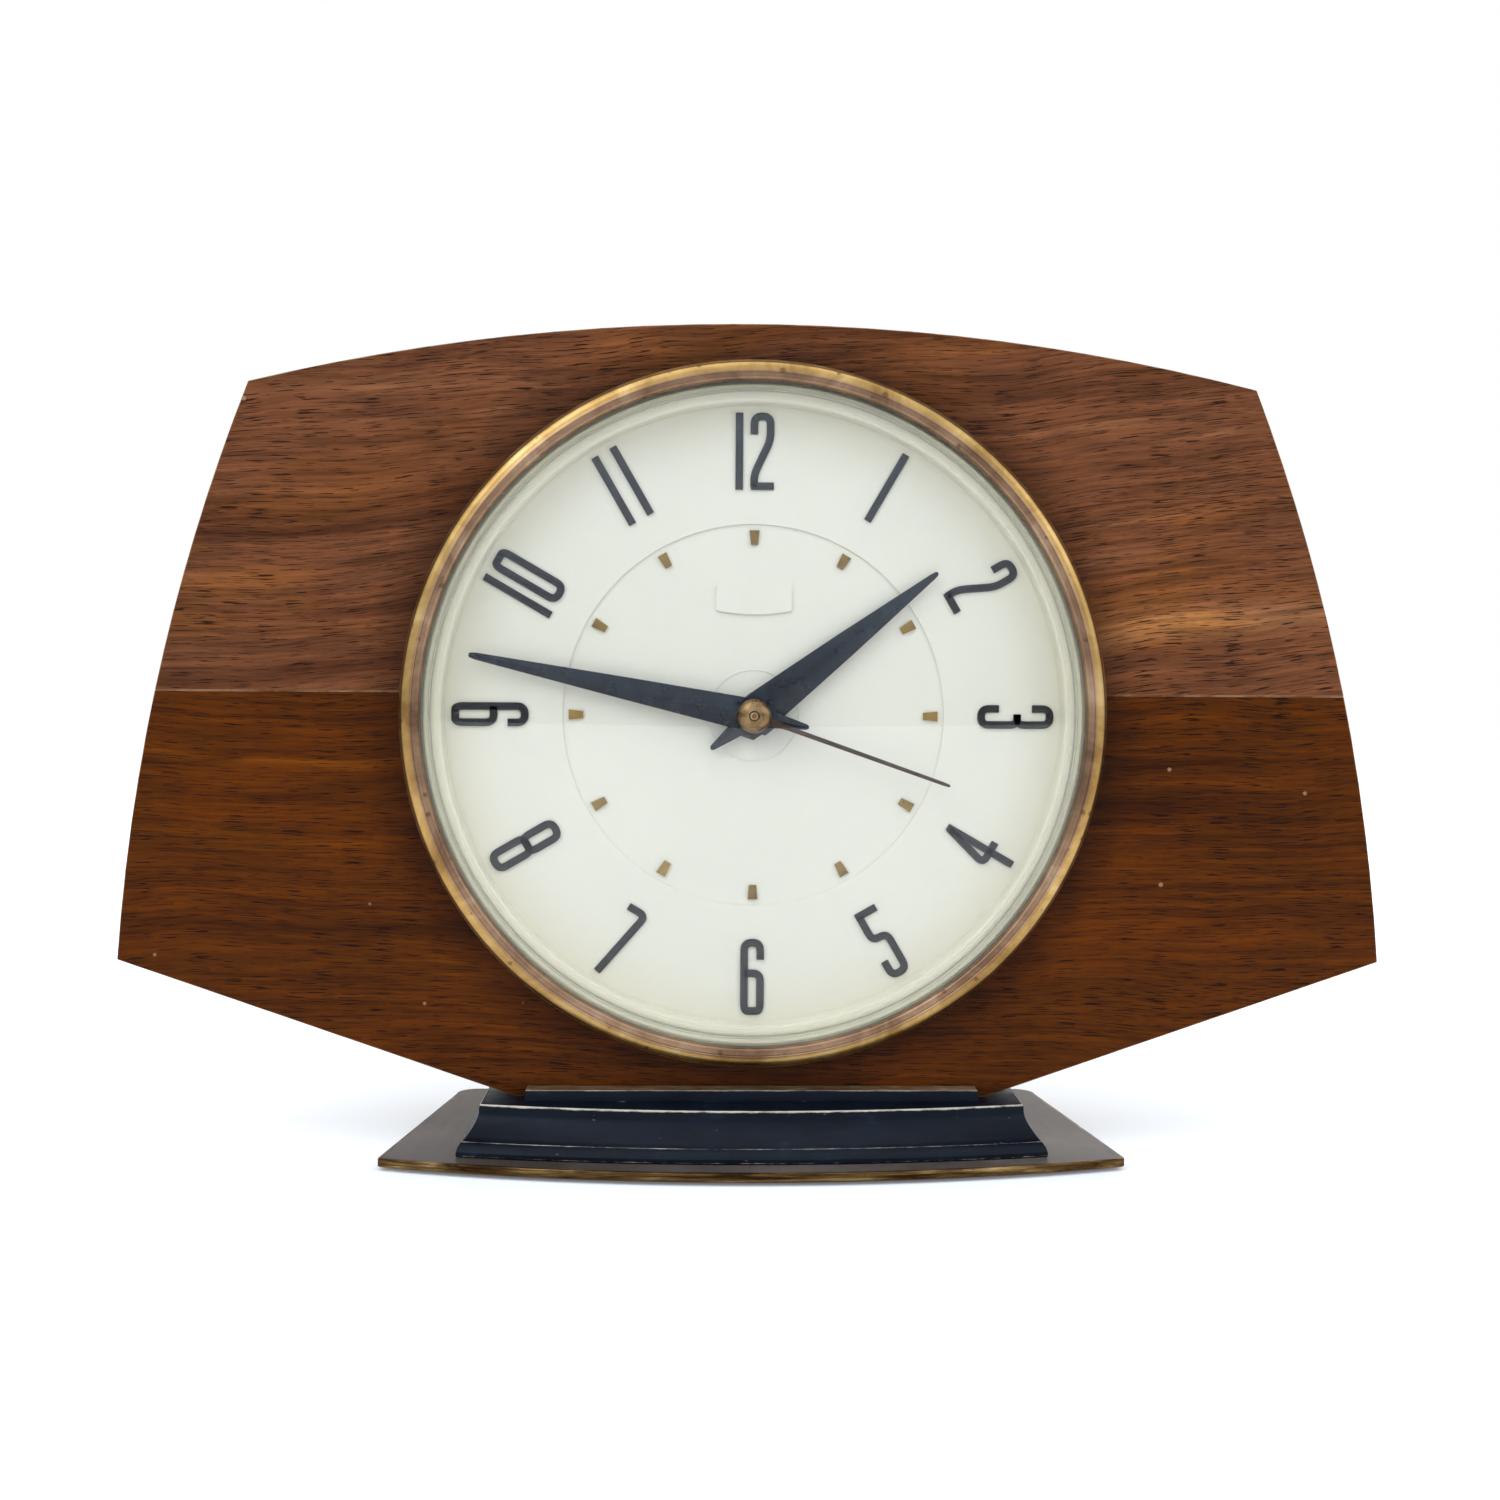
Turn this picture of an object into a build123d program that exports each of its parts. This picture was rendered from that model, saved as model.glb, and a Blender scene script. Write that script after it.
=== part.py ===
from build123d import *
import math
import os

os.makedirs("parts", exist_ok=True)

# Mantel clock: a veneered panel on a moulded plinth and a brass base plate, with a
# battery-driven balance movement behind the dial. +Z is up and the dial faces -Y.
# The origin is on the table, under the dial centre, at the panel's front face.

# ---- driving dimensions, millimetres ----
# stand
FELT_T = 0.8
PLATE_T = 2.0
PLINTH_H = 10.0
PLATE_HALF_FRONT = 81.0
PLATE_HALF_BACK = 72.0
PLATE_TIP_Y = -14.6
PLATE_CENTRE_Y = -26.8
PLATE_BACK_Y = 52.0
PLATE_CORNER_R = 5.0
PLATE_CHAMFER = 0.4
FELT_INSET = 3.0
PLINTH_HALF_TOP = 59.8
PLINTH_HALF_FOOT = 64.2
LEDGE_CENTRE_Y = -13.6
LEDGE_END_Y = -7.2
COVE_FLARE = 6.8
COVE_SHARE = 0.72
PLINTH_BACK_Y = 30.0
LIP_H = 2.6
LIP_T = 5.0
LIP_HALF = 50.3

# panel, heights measured from the dial centre
CENTRE_ABOVE_FOOT = 85.4
PANEL_T = 12.0
VENEER_T = 0.8
FOOT_HALF = 52.5
ELBOW_HALF = 140.9
ELBOW_DROP = 54.8
SHOULDER_HALF = 111.4
SHOULDER_RISE = 72.9
CROWN_RISE = 86.4
SIDE_BULGE = 5.0
VENEER_JOINT_RISE = 5.0

# dial, numerals and markers
DIAL_R = 71.3
DIAL_PLATE_T = 2.0
DIAL_RIM_W = 2.6
DIAL_RIM_H = 3.2
DIAL_STEP_T = 0.4
NUMERAL_MARGIN = 1.5
NUMERAL_TALL = 17.1
NUMERAL_W = 5.3
STROKE = 1.7
RAISED = 0.5
STEP_MARGIN = 7.5
MARKER_MARGIN = 3.0
MARKER_LONG = 3.2
MARKER_OUT_W = 2.2
MARKER_IN_W = 1.6
BADGE_W = 16.8
BADGE_H = 6.3
BADGE_BOW = 0.8
BADGE_BELOW_MARKERS = 13.9

# pan, gasket, lens and bezel
PAN_SHEET = 0.8
PAN_DEPTH = 5.4
GASKET_T = 0.5
LENS_FLANGE_T = 1.4
LENS_WALL = 1.6
LENS_STEP_IN = 2.2
LENS_CROWN = 10.2
LENS_SHOULDER = 4.4
BEZEL_BAND = 4.8
BEZEL_PROUD = 7.0
BEZEL_SHEET = 1.0
BEZEL_OVERLAP = 0.7
CRIMP_T = 0.7
CRIMP_GRIP = 1.4
CLAMP_REACH = 4.2
CLAMP_W = 10.0
CLAMP_T = 1.2

# hands: clockwise angles from twelve, in degrees
MINUTE_ANGLE = 281.8
HOUR_ANGLE = 51.9
SECONDS_ANGLE = 109.4
MINUTE_SHORT_OF_NUMERALS = 2.8
MINUTE_TAIL = 12.5
MINUTE_W = 7.6
HOUR_INTO_NUMERALS = 1.7
HOUR_TAIL = 12.1
HOUR_W = 9.0
TAIL_W = 3.6
TAIL_TIP_W = 1.3
HEX_R = 5.2
SECONDS_SHORT_OF_NUMERALS = 3.9
SECONDS_W = 1.2
HAND_T = 0.5
CAP_R = 3.8
CAP_H = 2.4

# fits
RUNNING = 0.05
EASY = 0.3
HOLE_GAP = 0.4
DIAL_GAP = 0.3
CELL_GAP = 0.1

# wheel train: teeth and modules; both pairs on the third arbor share one axle distance,
# and so do both pairs of the motion work
CENTRE_TEETH = 80
THIRD_TEETH = 75
TRAIN_PINION = 10
CENTRE_MODULE = 0.34
THIRD_MODULE = CENTRE_MODULE * (CENTRE_TEETH + TRAIN_PINION) / (THIRD_TEETH + TRAIN_PINION)
CANNON_TEETH = 14
MOTION_TEETH = 42
MOTION_PINION = 12
HOUR_TEETH = 48
MOTION_MODULE = 0.45
HOUR_MODULE = MOTION_MODULE * (MOTION_TEETH + CANNON_TEETH) / (HOUR_TEETH + MOTION_PINION)
INDEX_TEETH = 60
PRESSURE_ANGLE = math.radians(20)
BACKLASH = 0.08
TOOTH_TIP = 0.8
TOOTH_ROOT = 1.25
THIRD_DIRECTION = 60.0
STUD_DIRECTION = 215.0
SET_DIRECTION = 160.0

# axles
SECONDS_ARBOR_R = 0.6
TUBE_R = 1.3
PIPE_R = 2.2
BUSH_R = 4.0
THIRD_ARBOR_R = 0.6
MOTION_STUD_R = 0.8
SET_SHAFT_R = 1.0
STAFF_R = 0.5

# depths from the panel's front face, towards the back
HOUR_WHEEL_Y = (7.0, 8.2)
MOTION_WHEEL_Y = (9.6, 10.8)
FRONT_PLATE_Y = 12.0
FRAME_PLATE_T = 1.2
BACK_PLATE_Y = 28.0
CENTRE_WHEEL_Y = (15.0, 16.0)
THIRD_WHEEL_Y = (20.0, 21.0)
INDEX_WHEEL_Y = (25.0, 26.0)
BALANCE_Y = (22.0, 23.2)

# movement layout, right and up from the dial centre
FRAME_LOW = (-34.0, -20.0)
FRAME_HIGH = (27.0, 34.0)
PILLAR_INSET = 3.5
PILLAR_R = 2.0
POST_R = 2.5
POSTS = [(-31.0, 8.0), (20.0, 26.0), (14.0, -15.0)]
BALANCE_AT = (-18.0, 17.0)
BALANCE_R = 12.0
MAGNET_ORBIT = 9.0
COIL_DIRECTION = 143.0
LEVER_AT = (-12.5, 8.5)
REGULATOR_ARM = 20.0
REGULATOR_DIRECTION = 100.0
REGULATOR_SWING = 12.0
BOARD_AT = (14.0, -8.0)
BOARD_W = 22.0
BOARD_H = 18.0

# rear cover and cell
COVER_WALL = 1.6
COVER_GAP = 1.4
COVER_EDGE_R = 4.0
COVER_BACK_Y = 46.0
EAR_R = 5.0
EAR_ANGLES = [35.0, 145.0, 215.0, 325.0]
CELL_R = 13.1
CELL_LONG = 50.0
CELL_DROP = 47.0
CELL_Y = 30.0
BAY_END_GAP = 1.2
BAY_SIDE_GAP = 1.0
BAY_WALL = 1.4
KNOB_R = 7.0
KNOB_T = 5.4

# ---- worked out from the above ----
PLATE_Z = FELT_T
PLINTH_Z = PLATE_Z + PLATE_T
LEDGE_Z = PLINTH_Z + PLINTH_H
DIAL_Z = LEDGE_Z + CENTRE_ABOVE_FOOT
PAN_FLANGE_Y = -CRIMP_T
GASKET_Y = PAN_FLANGE_Y - PAN_SHEET
LENS_Y = GASKET_Y - GASKET_T
LENS_FRONT_Y = LENS_Y - LENS_FLANGE_T
PAN_BACK_Y = PAN_DEPTH
DIAL_BACK_Y = PAN_BACK_Y - PAN_SHEET
DIAL_FACE_Y = DIAL_BACK_Y - DIAL_PLATE_T
PAN_WALL_R = DIAL_R + DIAL_GAP
PAN_OUTER_R = PAN_WALL_R + PAN_SHEET
PANEL_HOLE_R = PAN_OUTER_R + HOLE_GAP
OPENING_R = PAN_OUTER_R + BEZEL_OVERLAP
BEZEL_R = OPENING_R + BEZEL_BAND
LENS_STEP_R = OPENING_R - LENS_STEP_IN
DIAL_RIM_R = DIAL_R - DIAL_RIM_W
NUMERAL_OUT = DIAL_RIM_R - NUMERAL_MARGIN
NUMERAL_IN = NUMERAL_OUT - NUMERAL_TALL
DIAL_STEP_R = NUMERAL_IN - STEP_MARGIN
MARKER_R = DIAL_STEP_R - MARKER_MARGIN
BADGE_RISE = MARKER_R - BADGE_BELOW_MARKERS
MINUTE_LONG = NUMERAL_OUT - MINUTE_SHORT_OF_NUMERALS
HOUR_LONG = NUMERAL_IN + HOUR_INTO_NUMERALS
SECONDS_LONG = NUMERAL_IN - SECONDS_SHORT_OF_NUMERALS
CLAMP_R = PANEL_HOLE_R + CLAMP_REACH
COVER_R = CLAMP_R + COVER_GAP + COVER_WALL
EAR_ORBIT = COVER_R + EAR_R
CREST_R = BEZEL_R - 2.5
BEZEL_WALL_IN = BEZEL_R - BEZEL_SHEET
FLANGE_R = BEZEL_WALL_IN - 0.8
THIRD_REACH = CENTRE_MODULE * (CENTRE_TEETH + TRAIN_PINION) / 2
MOTION_REACH = MOTION_MODULE * (MOTION_TEETH + CANNON_TEETH) / 2
BACK_PLATE_END = BACK_PLATE_Y + FRAME_PLATE_T
FRONT_PLATE_END = FRONT_PLATE_Y + FRAME_PLATE_T


def polar(reach, degrees, start=(0.0, 0.0)):
    """A point at a distance and a direction, counter-clockwise from the right."""
    turn = math.radians(degrees)
    return (start[0] + reach * math.cos(turn), start[1] + reach * math.sin(turn))


def facing(y, at=(0.0, 0.0)):
    """A sketch plane at depth y that faces forwards, centred on a point of the dial."""
    return Plane(origin=(at[0], y, DIAL_Z + at[1]), x_dir=(1, 0, 0), z_dir=(0, -1, 0))


def level(z):
    return Plane.XY.offset(z)


THIRD_AT = polar(THIRD_REACH, THIRD_DIRECTION)
STUD_AT = polar(MOTION_REACH, STUD_DIRECTION)
SET_AT = polar(MOTION_REACH, SET_DIRECTION, STUD_AT)
COIL_AT = polar(MAGNET_ORBIT, COIL_DIRECTION, BALANCE_AT)


def save(piece, label):
    piece.label = label
    export_step(piece, "parts/" + label + ".step")


# ---- outlines ----
def panel_outline():
    """The hexagonal front with its bowed top and sides, about the dial centre."""
    foot = (FOOT_HALF, -CENTRE_ABOVE_FOOT)
    elbow = (ELBOW_HALF, -ELBOW_DROP)
    shoulder = (SHOULDER_HALF, SHOULDER_RISE)
    side = math.hypot(elbow[0] - shoulder[0], elbow[1] - shoulder[1])
    out_x = (shoulder[1] - elbow[1]) / side
    out_z = (elbow[0] - shoulder[0]) / side
    bow = (
        (elbow[0] + shoulder[0]) / 2 + SIDE_BULGE * out_x,
        (elbow[1] + shoulder[1]) / 2 + SIDE_BULGE * out_z,
    )
    with BuildLine() as line:
        Line((-foot[0], foot[1]), foot)
        Line(foot, elbow)
        ThreePointArc(elbow, bow, shoulder)
        ThreePointArc(shoulder, (0, CROWN_RISE), (-shoulder[0], shoulder[1]))
        ThreePointArc((-shoulder[0], shoulder[1]), (-bow[0], bow[1]), (-elbow[0], elbow[1]))
        Line((-elbow[0], elbow[1]), (-foot[0], foot[1]))
    return line.line


def plate_outline():
    """The base plate from above: bowed front, straight sides that draw in, square back."""
    with BuildLine() as line:
        ThreePointArc(
            (-PLATE_HALF_FRONT, PLATE_TIP_Y), (0, PLATE_CENTRE_Y), (PLATE_HALF_FRONT, PLATE_TIP_Y)
        )
        Line((PLATE_HALF_FRONT, PLATE_TIP_Y), (PLATE_HALF_BACK, PLATE_BACK_Y))
        Line((PLATE_HALF_BACK, PLATE_BACK_Y), (-PLATE_HALF_BACK, PLATE_BACK_Y))
        Line((-PLATE_HALF_BACK, PLATE_BACK_Y), (-PLATE_HALF_FRONT, PLATE_TIP_Y))
    return line.line


def plinth_outline(half, flare):
    """The plinth from above at one height; flare is how far the front has swept out."""
    end_y = LEDGE_END_Y - flare
    centre_y = LEDGE_CENTRE_Y - flare
    with BuildLine() as line:
        ThreePointArc((-half, end_y), (0, centre_y), (half, end_y))
        Line((half, end_y), (half, PLINTH_BACK_Y))
        Line((half, PLINTH_BACK_Y), (-half, PLINTH_BACK_Y))
        Line((-half, PLINTH_BACK_Y), (-half, end_y))
    return line.line


def tooth_points(teeth, module, shift):
    """One pitch of an involute tooth, thinned for backlash, as radius and angle pairs."""
    pitch_r = teeth * module / 2
    base_r = pitch_r * math.cos(PRESSURE_ANGLE)
    tip_r = pitch_r + module * (TOOTH_TIP + shift)
    root_r = pitch_r - module * (TOOTH_ROOT - shift)
    width = module * (math.pi / 2 + 2 * shift * math.tan(PRESSURE_ANGLE)) - BACKLASH
    half = width / (2 * pitch_r) + math.tan(PRESSURE_ANGLE) - PRESSURE_ANGLE
    flank_in = max(base_r, root_r)
    flank = [(root_r, half)]
    if root_r >= base_r:
        flank = []
    steps = 4
    for step in range(steps + 1):
        radius = flank_in + (tip_r - flank_in) * step / steps
        roll = math.acos(min(1.0, base_r / radius))
        flank.append((radius, half - (math.tan(roll) - roll)))
    return flank


def gear_outline(teeth, module, shift, turn):
    """A closed gear outline with one tooth centred on the direction turn, in degrees."""
    flank = tooth_points(teeth, module, shift)
    points = []
    for tooth in range(teeth):
        middle = math.radians(turn + 360.0 * tooth / teeth)
        for radius, angle in flank:
            points.append((radius * math.cos(middle - angle), radius * math.sin(middle - angle)))
        for radius, angle in reversed(flank):
            points.append((radius * math.cos(middle + angle), radius * math.sin(middle + angle)))
    return points


def meshed_turn(turn, teeth, other_teeth, direction):
    """The turn of a gear that meshes with one whose tooth is at turn, lying that way."""
    phase = (direction - turn) * teeth / 360.0
    return direction + 180.0 - (0.5 - phase) * 360.0 / other_teeth


SHIFT_TRAIN = 0.4
SHIFT_MOTION = 0.25
SHIFT_HOUR = 0.35

# ---- stand ----
with BuildPart() as base_plate:
    with BuildSketch(level(PLATE_Z)):
        with BuildLine():
            add(plate_outline())
        make_face()
    extrude(amount=PLATE_T)
    back_corners = base_plate.edges().filter_by(Axis.Z).group_by(Axis.Y)[-1]
    fillet(back_corners, PLATE_CORNER_R)
    chamfer(base_plate.faces().sort_by(Axis.Z)[-1].edges(), PLATE_CHAMFER)

PANEL_SCREW_X = 38.0
PANEL_SCREW_R = 1.75
PANEL_SCREW_LONG = 28.0
PLATE_SCREW_R = 1.25
PLATE_SCREW_LONG = 8.0
PANEL_SCREW_HEAD_R = 3.3
PLATE_SCREW_HEAD_R = 2.6
PLATE_SCREW_X = 48.0
PLATE_SCREW_Y = (-8.0, 22.0)
PLATE_SCREWS = [(side * PLATE_SCREW_X, y) for side in (-1, 1) for y in PLATE_SCREW_Y]
PANEL_SCREWS = [(-PANEL_SCREW_X, PANEL_T / 2), (PANEL_SCREW_X, PANEL_T / 2)]


def screw_set(points, radius, long, head_r):
    """Countersunk screws driven upwards, heads flush with the underside of the plate."""
    with BuildPart() as screws:
        with BuildSketch(level(PLATE_Z)):
            with Locations(*points):
                Circle(radius)
        extrude(amount=long)
        for x, y in points:
            with Locations((x, y, PLATE_Z)):
                Cone(head_r, radius, head_r - radius, align=(Align.CENTER, Align.CENTER, Align.MIN))
    return screws.part


plate_screws = screw_set(PLATE_SCREWS, PLATE_SCREW_R, PLATE_SCREW_LONG, PLATE_SCREW_HEAD_R)
panel_screws = screw_set(PANEL_SCREWS, PANEL_SCREW_R, PANEL_SCREW_LONG, PANEL_SCREW_HEAD_R)

with BuildPart() as base_plate_drilled:
    add(base_plate.part)
    add(plate_screws, mode=Mode.SUBTRACT)
    add(panel_screws, mode=Mode.SUBTRACT)

with BuildPart() as base_felt:
    with BuildSketch(level(0)):
        with BuildLine():
            add(plate_outline())
        make_face()
        offset(amount=-FELT_INSET)
    extrude(amount=FELT_T)

COVE_LEVELS = 6
COVE_FOOT_SHARE = 0.8
LEDGE_BAND = 1.6

with BuildPart() as plinth:
    cove_top = PLINTH_H * COVE_SHARE
    bead_h = PLINTH_H - cove_top
    # straight bead at the foot
    with BuildSketch(level(PLINTH_Z)):
        with BuildLine():
            add(plinth_outline(PLINTH_HALF_FOOT, COVE_FLARE))
        make_face()
    extrude(amount=bead_h)
    # cove that sweeps up and in to the ledge
    for step in range(COVE_LEVELS + 1):
        share = step / COVE_LEVELS
        swept = COVE_FOOT_SHARE * (1 - math.sin(share * math.pi / 2))
        half = PLINTH_HALF_TOP + (PLINTH_HALF_FOOT - PLINTH_HALF_TOP) * swept
        with BuildSketch(level(PLINTH_Z + bead_h + (cove_top - LEDGE_BAND) * share)):
            with BuildLine():
                add(plinth_outline(half, COVE_FLARE * swept))
            make_face()
    loft(ruled=True)
    with BuildSketch(level(LEDGE_Z - LEDGE_BAND)):
        with BuildLine():
            add(plinth_outline(PLINTH_HALF_TOP, 0))
        make_face()
    extrude(amount=LEDGE_BAND)
    # raised lips that hold the panel's foot
    with BuildSketch(level(LEDGE_Z)):
        with Locations((0, -LIP_T / 2), (0, PANEL_T + LIP_T / 2)):
            Rectangle(2 * LIP_HALF, LIP_T)
    extrude(amount=LIP_H)
    add(plate_screws, mode=Mode.SUBTRACT)
    add(panel_screws, mode=Mode.SUBTRACT)

save(base_plate_drilled.part, "base_plate")
save(base_felt.part, "base_felt")
save(plinth.part, "plinth")
save(plate_screws, "plate_screws")
save(panel_screws, "panel_screws")

# ---- panel: a board with two leaves of veneer on its face ----
EAR_SCREW_R = 1.2
EAR_SCREW_LONG = 9.0
EAR_T = 2.0
EAR_HEAD_R = 2.3
EAR_HEAD_T = 1.6
SCREW_SLOT_W = 0.7
EAR_HEAD_Y = PANEL_T + EAR_T + EAR_HEAD_T

with BuildPart() as cover_screws:
    for angle in EAR_ANGLES:
        with BuildSketch(facing(PANEL_T + EAR_T, polar(EAR_ORBIT, angle))):
            Circle(EAR_SCREW_R)
        extrude(amount=EAR_SCREW_LONG)
        with BuildSketch(facing(EAR_HEAD_Y, polar(EAR_ORBIT, angle))):
            Circle(EAR_HEAD_R)
        extrude(amount=EAR_HEAD_T)
        with BuildSketch(facing(EAR_HEAD_Y, polar(EAR_ORBIT, angle))):
            Rectangle(2 * EAR_HEAD_R, SCREW_SLOT_W)
        extrude(amount=SCREW_SLOT_W, mode=Mode.SUBTRACT)

with BuildPart() as panel_core:
    with BuildSketch(facing(PANEL_T)):
        with BuildLine():
            add(panel_outline())
        make_face()
        Circle(PANEL_HOLE_R, mode=Mode.SUBTRACT)
    extrude(amount=PANEL_T - VENEER_T)
    add(panel_screws, mode=Mode.SUBTRACT)
    add(cover_screws.part, mode=Mode.SUBTRACT)


def veneer_leaf(low, high):
    """The part of the face sheet between two heights."""
    with BuildPart() as leaf:
        with BuildSketch(facing(VENEER_T)):
            with BuildLine():
                add(panel_outline())
            make_face()
            Circle(PANEL_HOLE_R, mode=Mode.SUBTRACT)
            with Locations((0, (low + high) / 2)):
                Rectangle(3 * ELBOW_HALF, high - low, mode=Mode.INTERSECT)
        extrude(amount=VENEER_T)
    return leaf.part


save(panel_core.part, "panel_core")
save(veneer_leaf(VENEER_JOINT_RISE, 2 * CROWN_RISE), "veneer_upper")
save(veneer_leaf(-2 * CENTRE_ABOVE_FOOT, VENEER_JOINT_RISE), "veneer_lower")
save(cover_screws.part, "cover_screws")


# ---- bezel, lens and dial ----
def half_section():
    """The plane through the dial's axis: x is the radius and y is the depth, forwards."""
    return Plane(origin=(0, 0, DIAL_Z), x_dir=(1, 0, 0), z_dir=(0, 0, 1))


DIAL_AXIS = Axis((0, 0, DIAL_Z), (0, 1, 0))


def dome_arc(edge_r, edge_y, crown_y):
    """An arc from a rim to the axis, level at the crown, so that it revolves to a dome."""
    rise = edge_y - crown_y
    sphere_r = (edge_r**2 + rise**2) / (2 * rise)
    half_r = edge_r / 2
    half_y = crown_y + sphere_r - math.sqrt(sphere_r**2 - half_r**2)
    return ThreePointArc((edge_r, edge_y), (half_r, half_y), (0, crown_y))


GRIP_R = FLANGE_R - CRIMP_GRIP
LEG_R = OPENING_R + BEZEL_SHEET
CREST_BAND = 0.8
LIP_ROUND_H = 1.4
INNER_CREST_R = CREST_R - 0.2
INNER_CREST_Y = BEZEL_SHEET + 0.1 - BEZEL_PROUD
OUTER_BEND = (BEZEL_R - 0.5, -0.63 * BEZEL_PROUD)
LIP_BEND = (OPENING_R + 0.3, 0.4 - BEZEL_PROUD)
LIP_FOOT_Y = LIP_ROUND_H - BEZEL_PROUD
LEG_TOP_Y = 1.8 - BEZEL_PROUD
WALL_BEND = (BEZEL_WALL_IN - 0.3, -3.6)

with BuildPart() as bezel:
    with BuildSketch(half_section()):
        with BuildLine():
            Line((GRIP_R, 0), (BEZEL_R, 0))
            ThreePointArc((BEZEL_R, 0), OUTER_BEND, (CREST_R, -BEZEL_PROUD))
            Line((CREST_R, -BEZEL_PROUD), (CREST_R - CREST_BAND, -BEZEL_PROUD))
            ThreePointArc(
                (CREST_R - CREST_BAND, -BEZEL_PROUD),
                LIP_BEND,
                (OPENING_R, LIP_FOOT_Y),
            )
            Line((OPENING_R, LIP_FOOT_Y), (OPENING_R, LENS_FRONT_Y))
            Line((OPENING_R, LENS_FRONT_Y), (LEG_R, LENS_FRONT_Y))
            Line((LEG_R, LENS_FRONT_Y), (LEG_R, LEG_TOP_Y))
            ThreePointArc(
                (LEG_R, LEG_TOP_Y),
                (CREST_R - CREST_BAND, INNER_CREST_Y),
                (INNER_CREST_R, INNER_CREST_Y),
            )
            Line((INNER_CREST_R, INNER_CREST_Y), WALL_BEND)
            Line(WALL_BEND, (BEZEL_WALL_IN, -CRIMP_T))
            Line((BEZEL_WALL_IN, -CRIMP_T), (GRIP_R, -CRIMP_T))
            Line((GRIP_R, -CRIMP_T), (GRIP_R, 0))
        make_face()
    revolve(axis=DIAL_AXIS)

with BuildPart() as lens:
    with BuildSketch(half_section()):
        with BuildLine():
            Line((LENS_STEP_R - LENS_WALL, LENS_Y), (FLANGE_R, LENS_Y))
            Line((FLANGE_R, LENS_Y), (FLANGE_R, LENS_FRONT_Y))
            Line((FLANGE_R, LENS_FRONT_Y), (LENS_STEP_R, LENS_FRONT_Y))
            Line((LENS_STEP_R, LENS_FRONT_Y), (LENS_STEP_R, -LENS_SHOULDER))
            dome_arc(LENS_STEP_R, -LENS_SHOULDER, -LENS_CROWN)
            Line((0, -LENS_CROWN), (0, LENS_WALL - LENS_CROWN))
            dome_arc(LENS_STEP_R - LENS_WALL, LENS_WALL - LENS_SHOULDER, LENS_WALL - LENS_CROWN)
            Line(
                (LENS_STEP_R - LENS_WALL, LENS_WALL - LENS_SHOULDER), (LENS_STEP_R - LENS_WALL, LENS_Y)
            )
        make_face()
    revolve(axis=DIAL_AXIS)

with BuildPart() as lens_gasket:
    with BuildSketch(facing(GASKET_Y)):
        Circle(FLANGE_R)
        Circle(PAN_WALL_R + 1.0, mode=Mode.SUBTRACT)
    extrude(amount=GASKET_T)

BUSH_FLANGE_R = 5.5
BUSH_FLANGE_T = 0.8
BUSH_NOSE_Y = 1.8
CLAMP_ANGLES = [90.0, 215.0, 325.0]
CLAMP_SCREW_R = 1.2
SCREW_HEAD_R = 2.2
SCREW_HEAD_T = 1.6
RISER_R = PANEL_HOLE_R - 3.6
CLAMP_SCREW_ORBIT = RISER_R - 5.2

with BuildPart() as dial_pan:
    with BuildSketch(half_section()):
        with BuildLine():
            Polyline(
                (BUSH_R, DIAL_BACK_Y),
                (PAN_WALL_R, DIAL_BACK_Y),
                (PAN_WALL_R, GASKET_Y),
                (FLANGE_R, GASKET_Y),
                (FLANGE_R, PAN_FLANGE_Y),
                (PAN_OUTER_R, PAN_FLANGE_Y),
                (PAN_OUTER_R, PAN_BACK_Y),
                (BUSH_R, PAN_BACK_Y),
                close=True,
            )
        make_face()
    revolve(axis=DIAL_AXIS)
    for angle in CLAMP_ANGLES:
        with BuildSketch(facing(PAN_BACK_Y, polar(CLAMP_SCREW_ORBIT, angle))):
            Circle(CLAMP_SCREW_R)
        extrude(amount=PAN_SHEET, mode=Mode.SUBTRACT)

RIM_SHOULDER_Y = DIAL_FACE_Y - DIAL_RIM_H + 1.2
RIM_CREST = ((DIAL_R + DIAL_RIM_R) / 2 + 0.2, DIAL_FACE_Y - DIAL_RIM_H)
RIM_INNER = (DIAL_RIM_R + 0.4, DIAL_FACE_Y - DIAL_RIM_H + 1.4)

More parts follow.
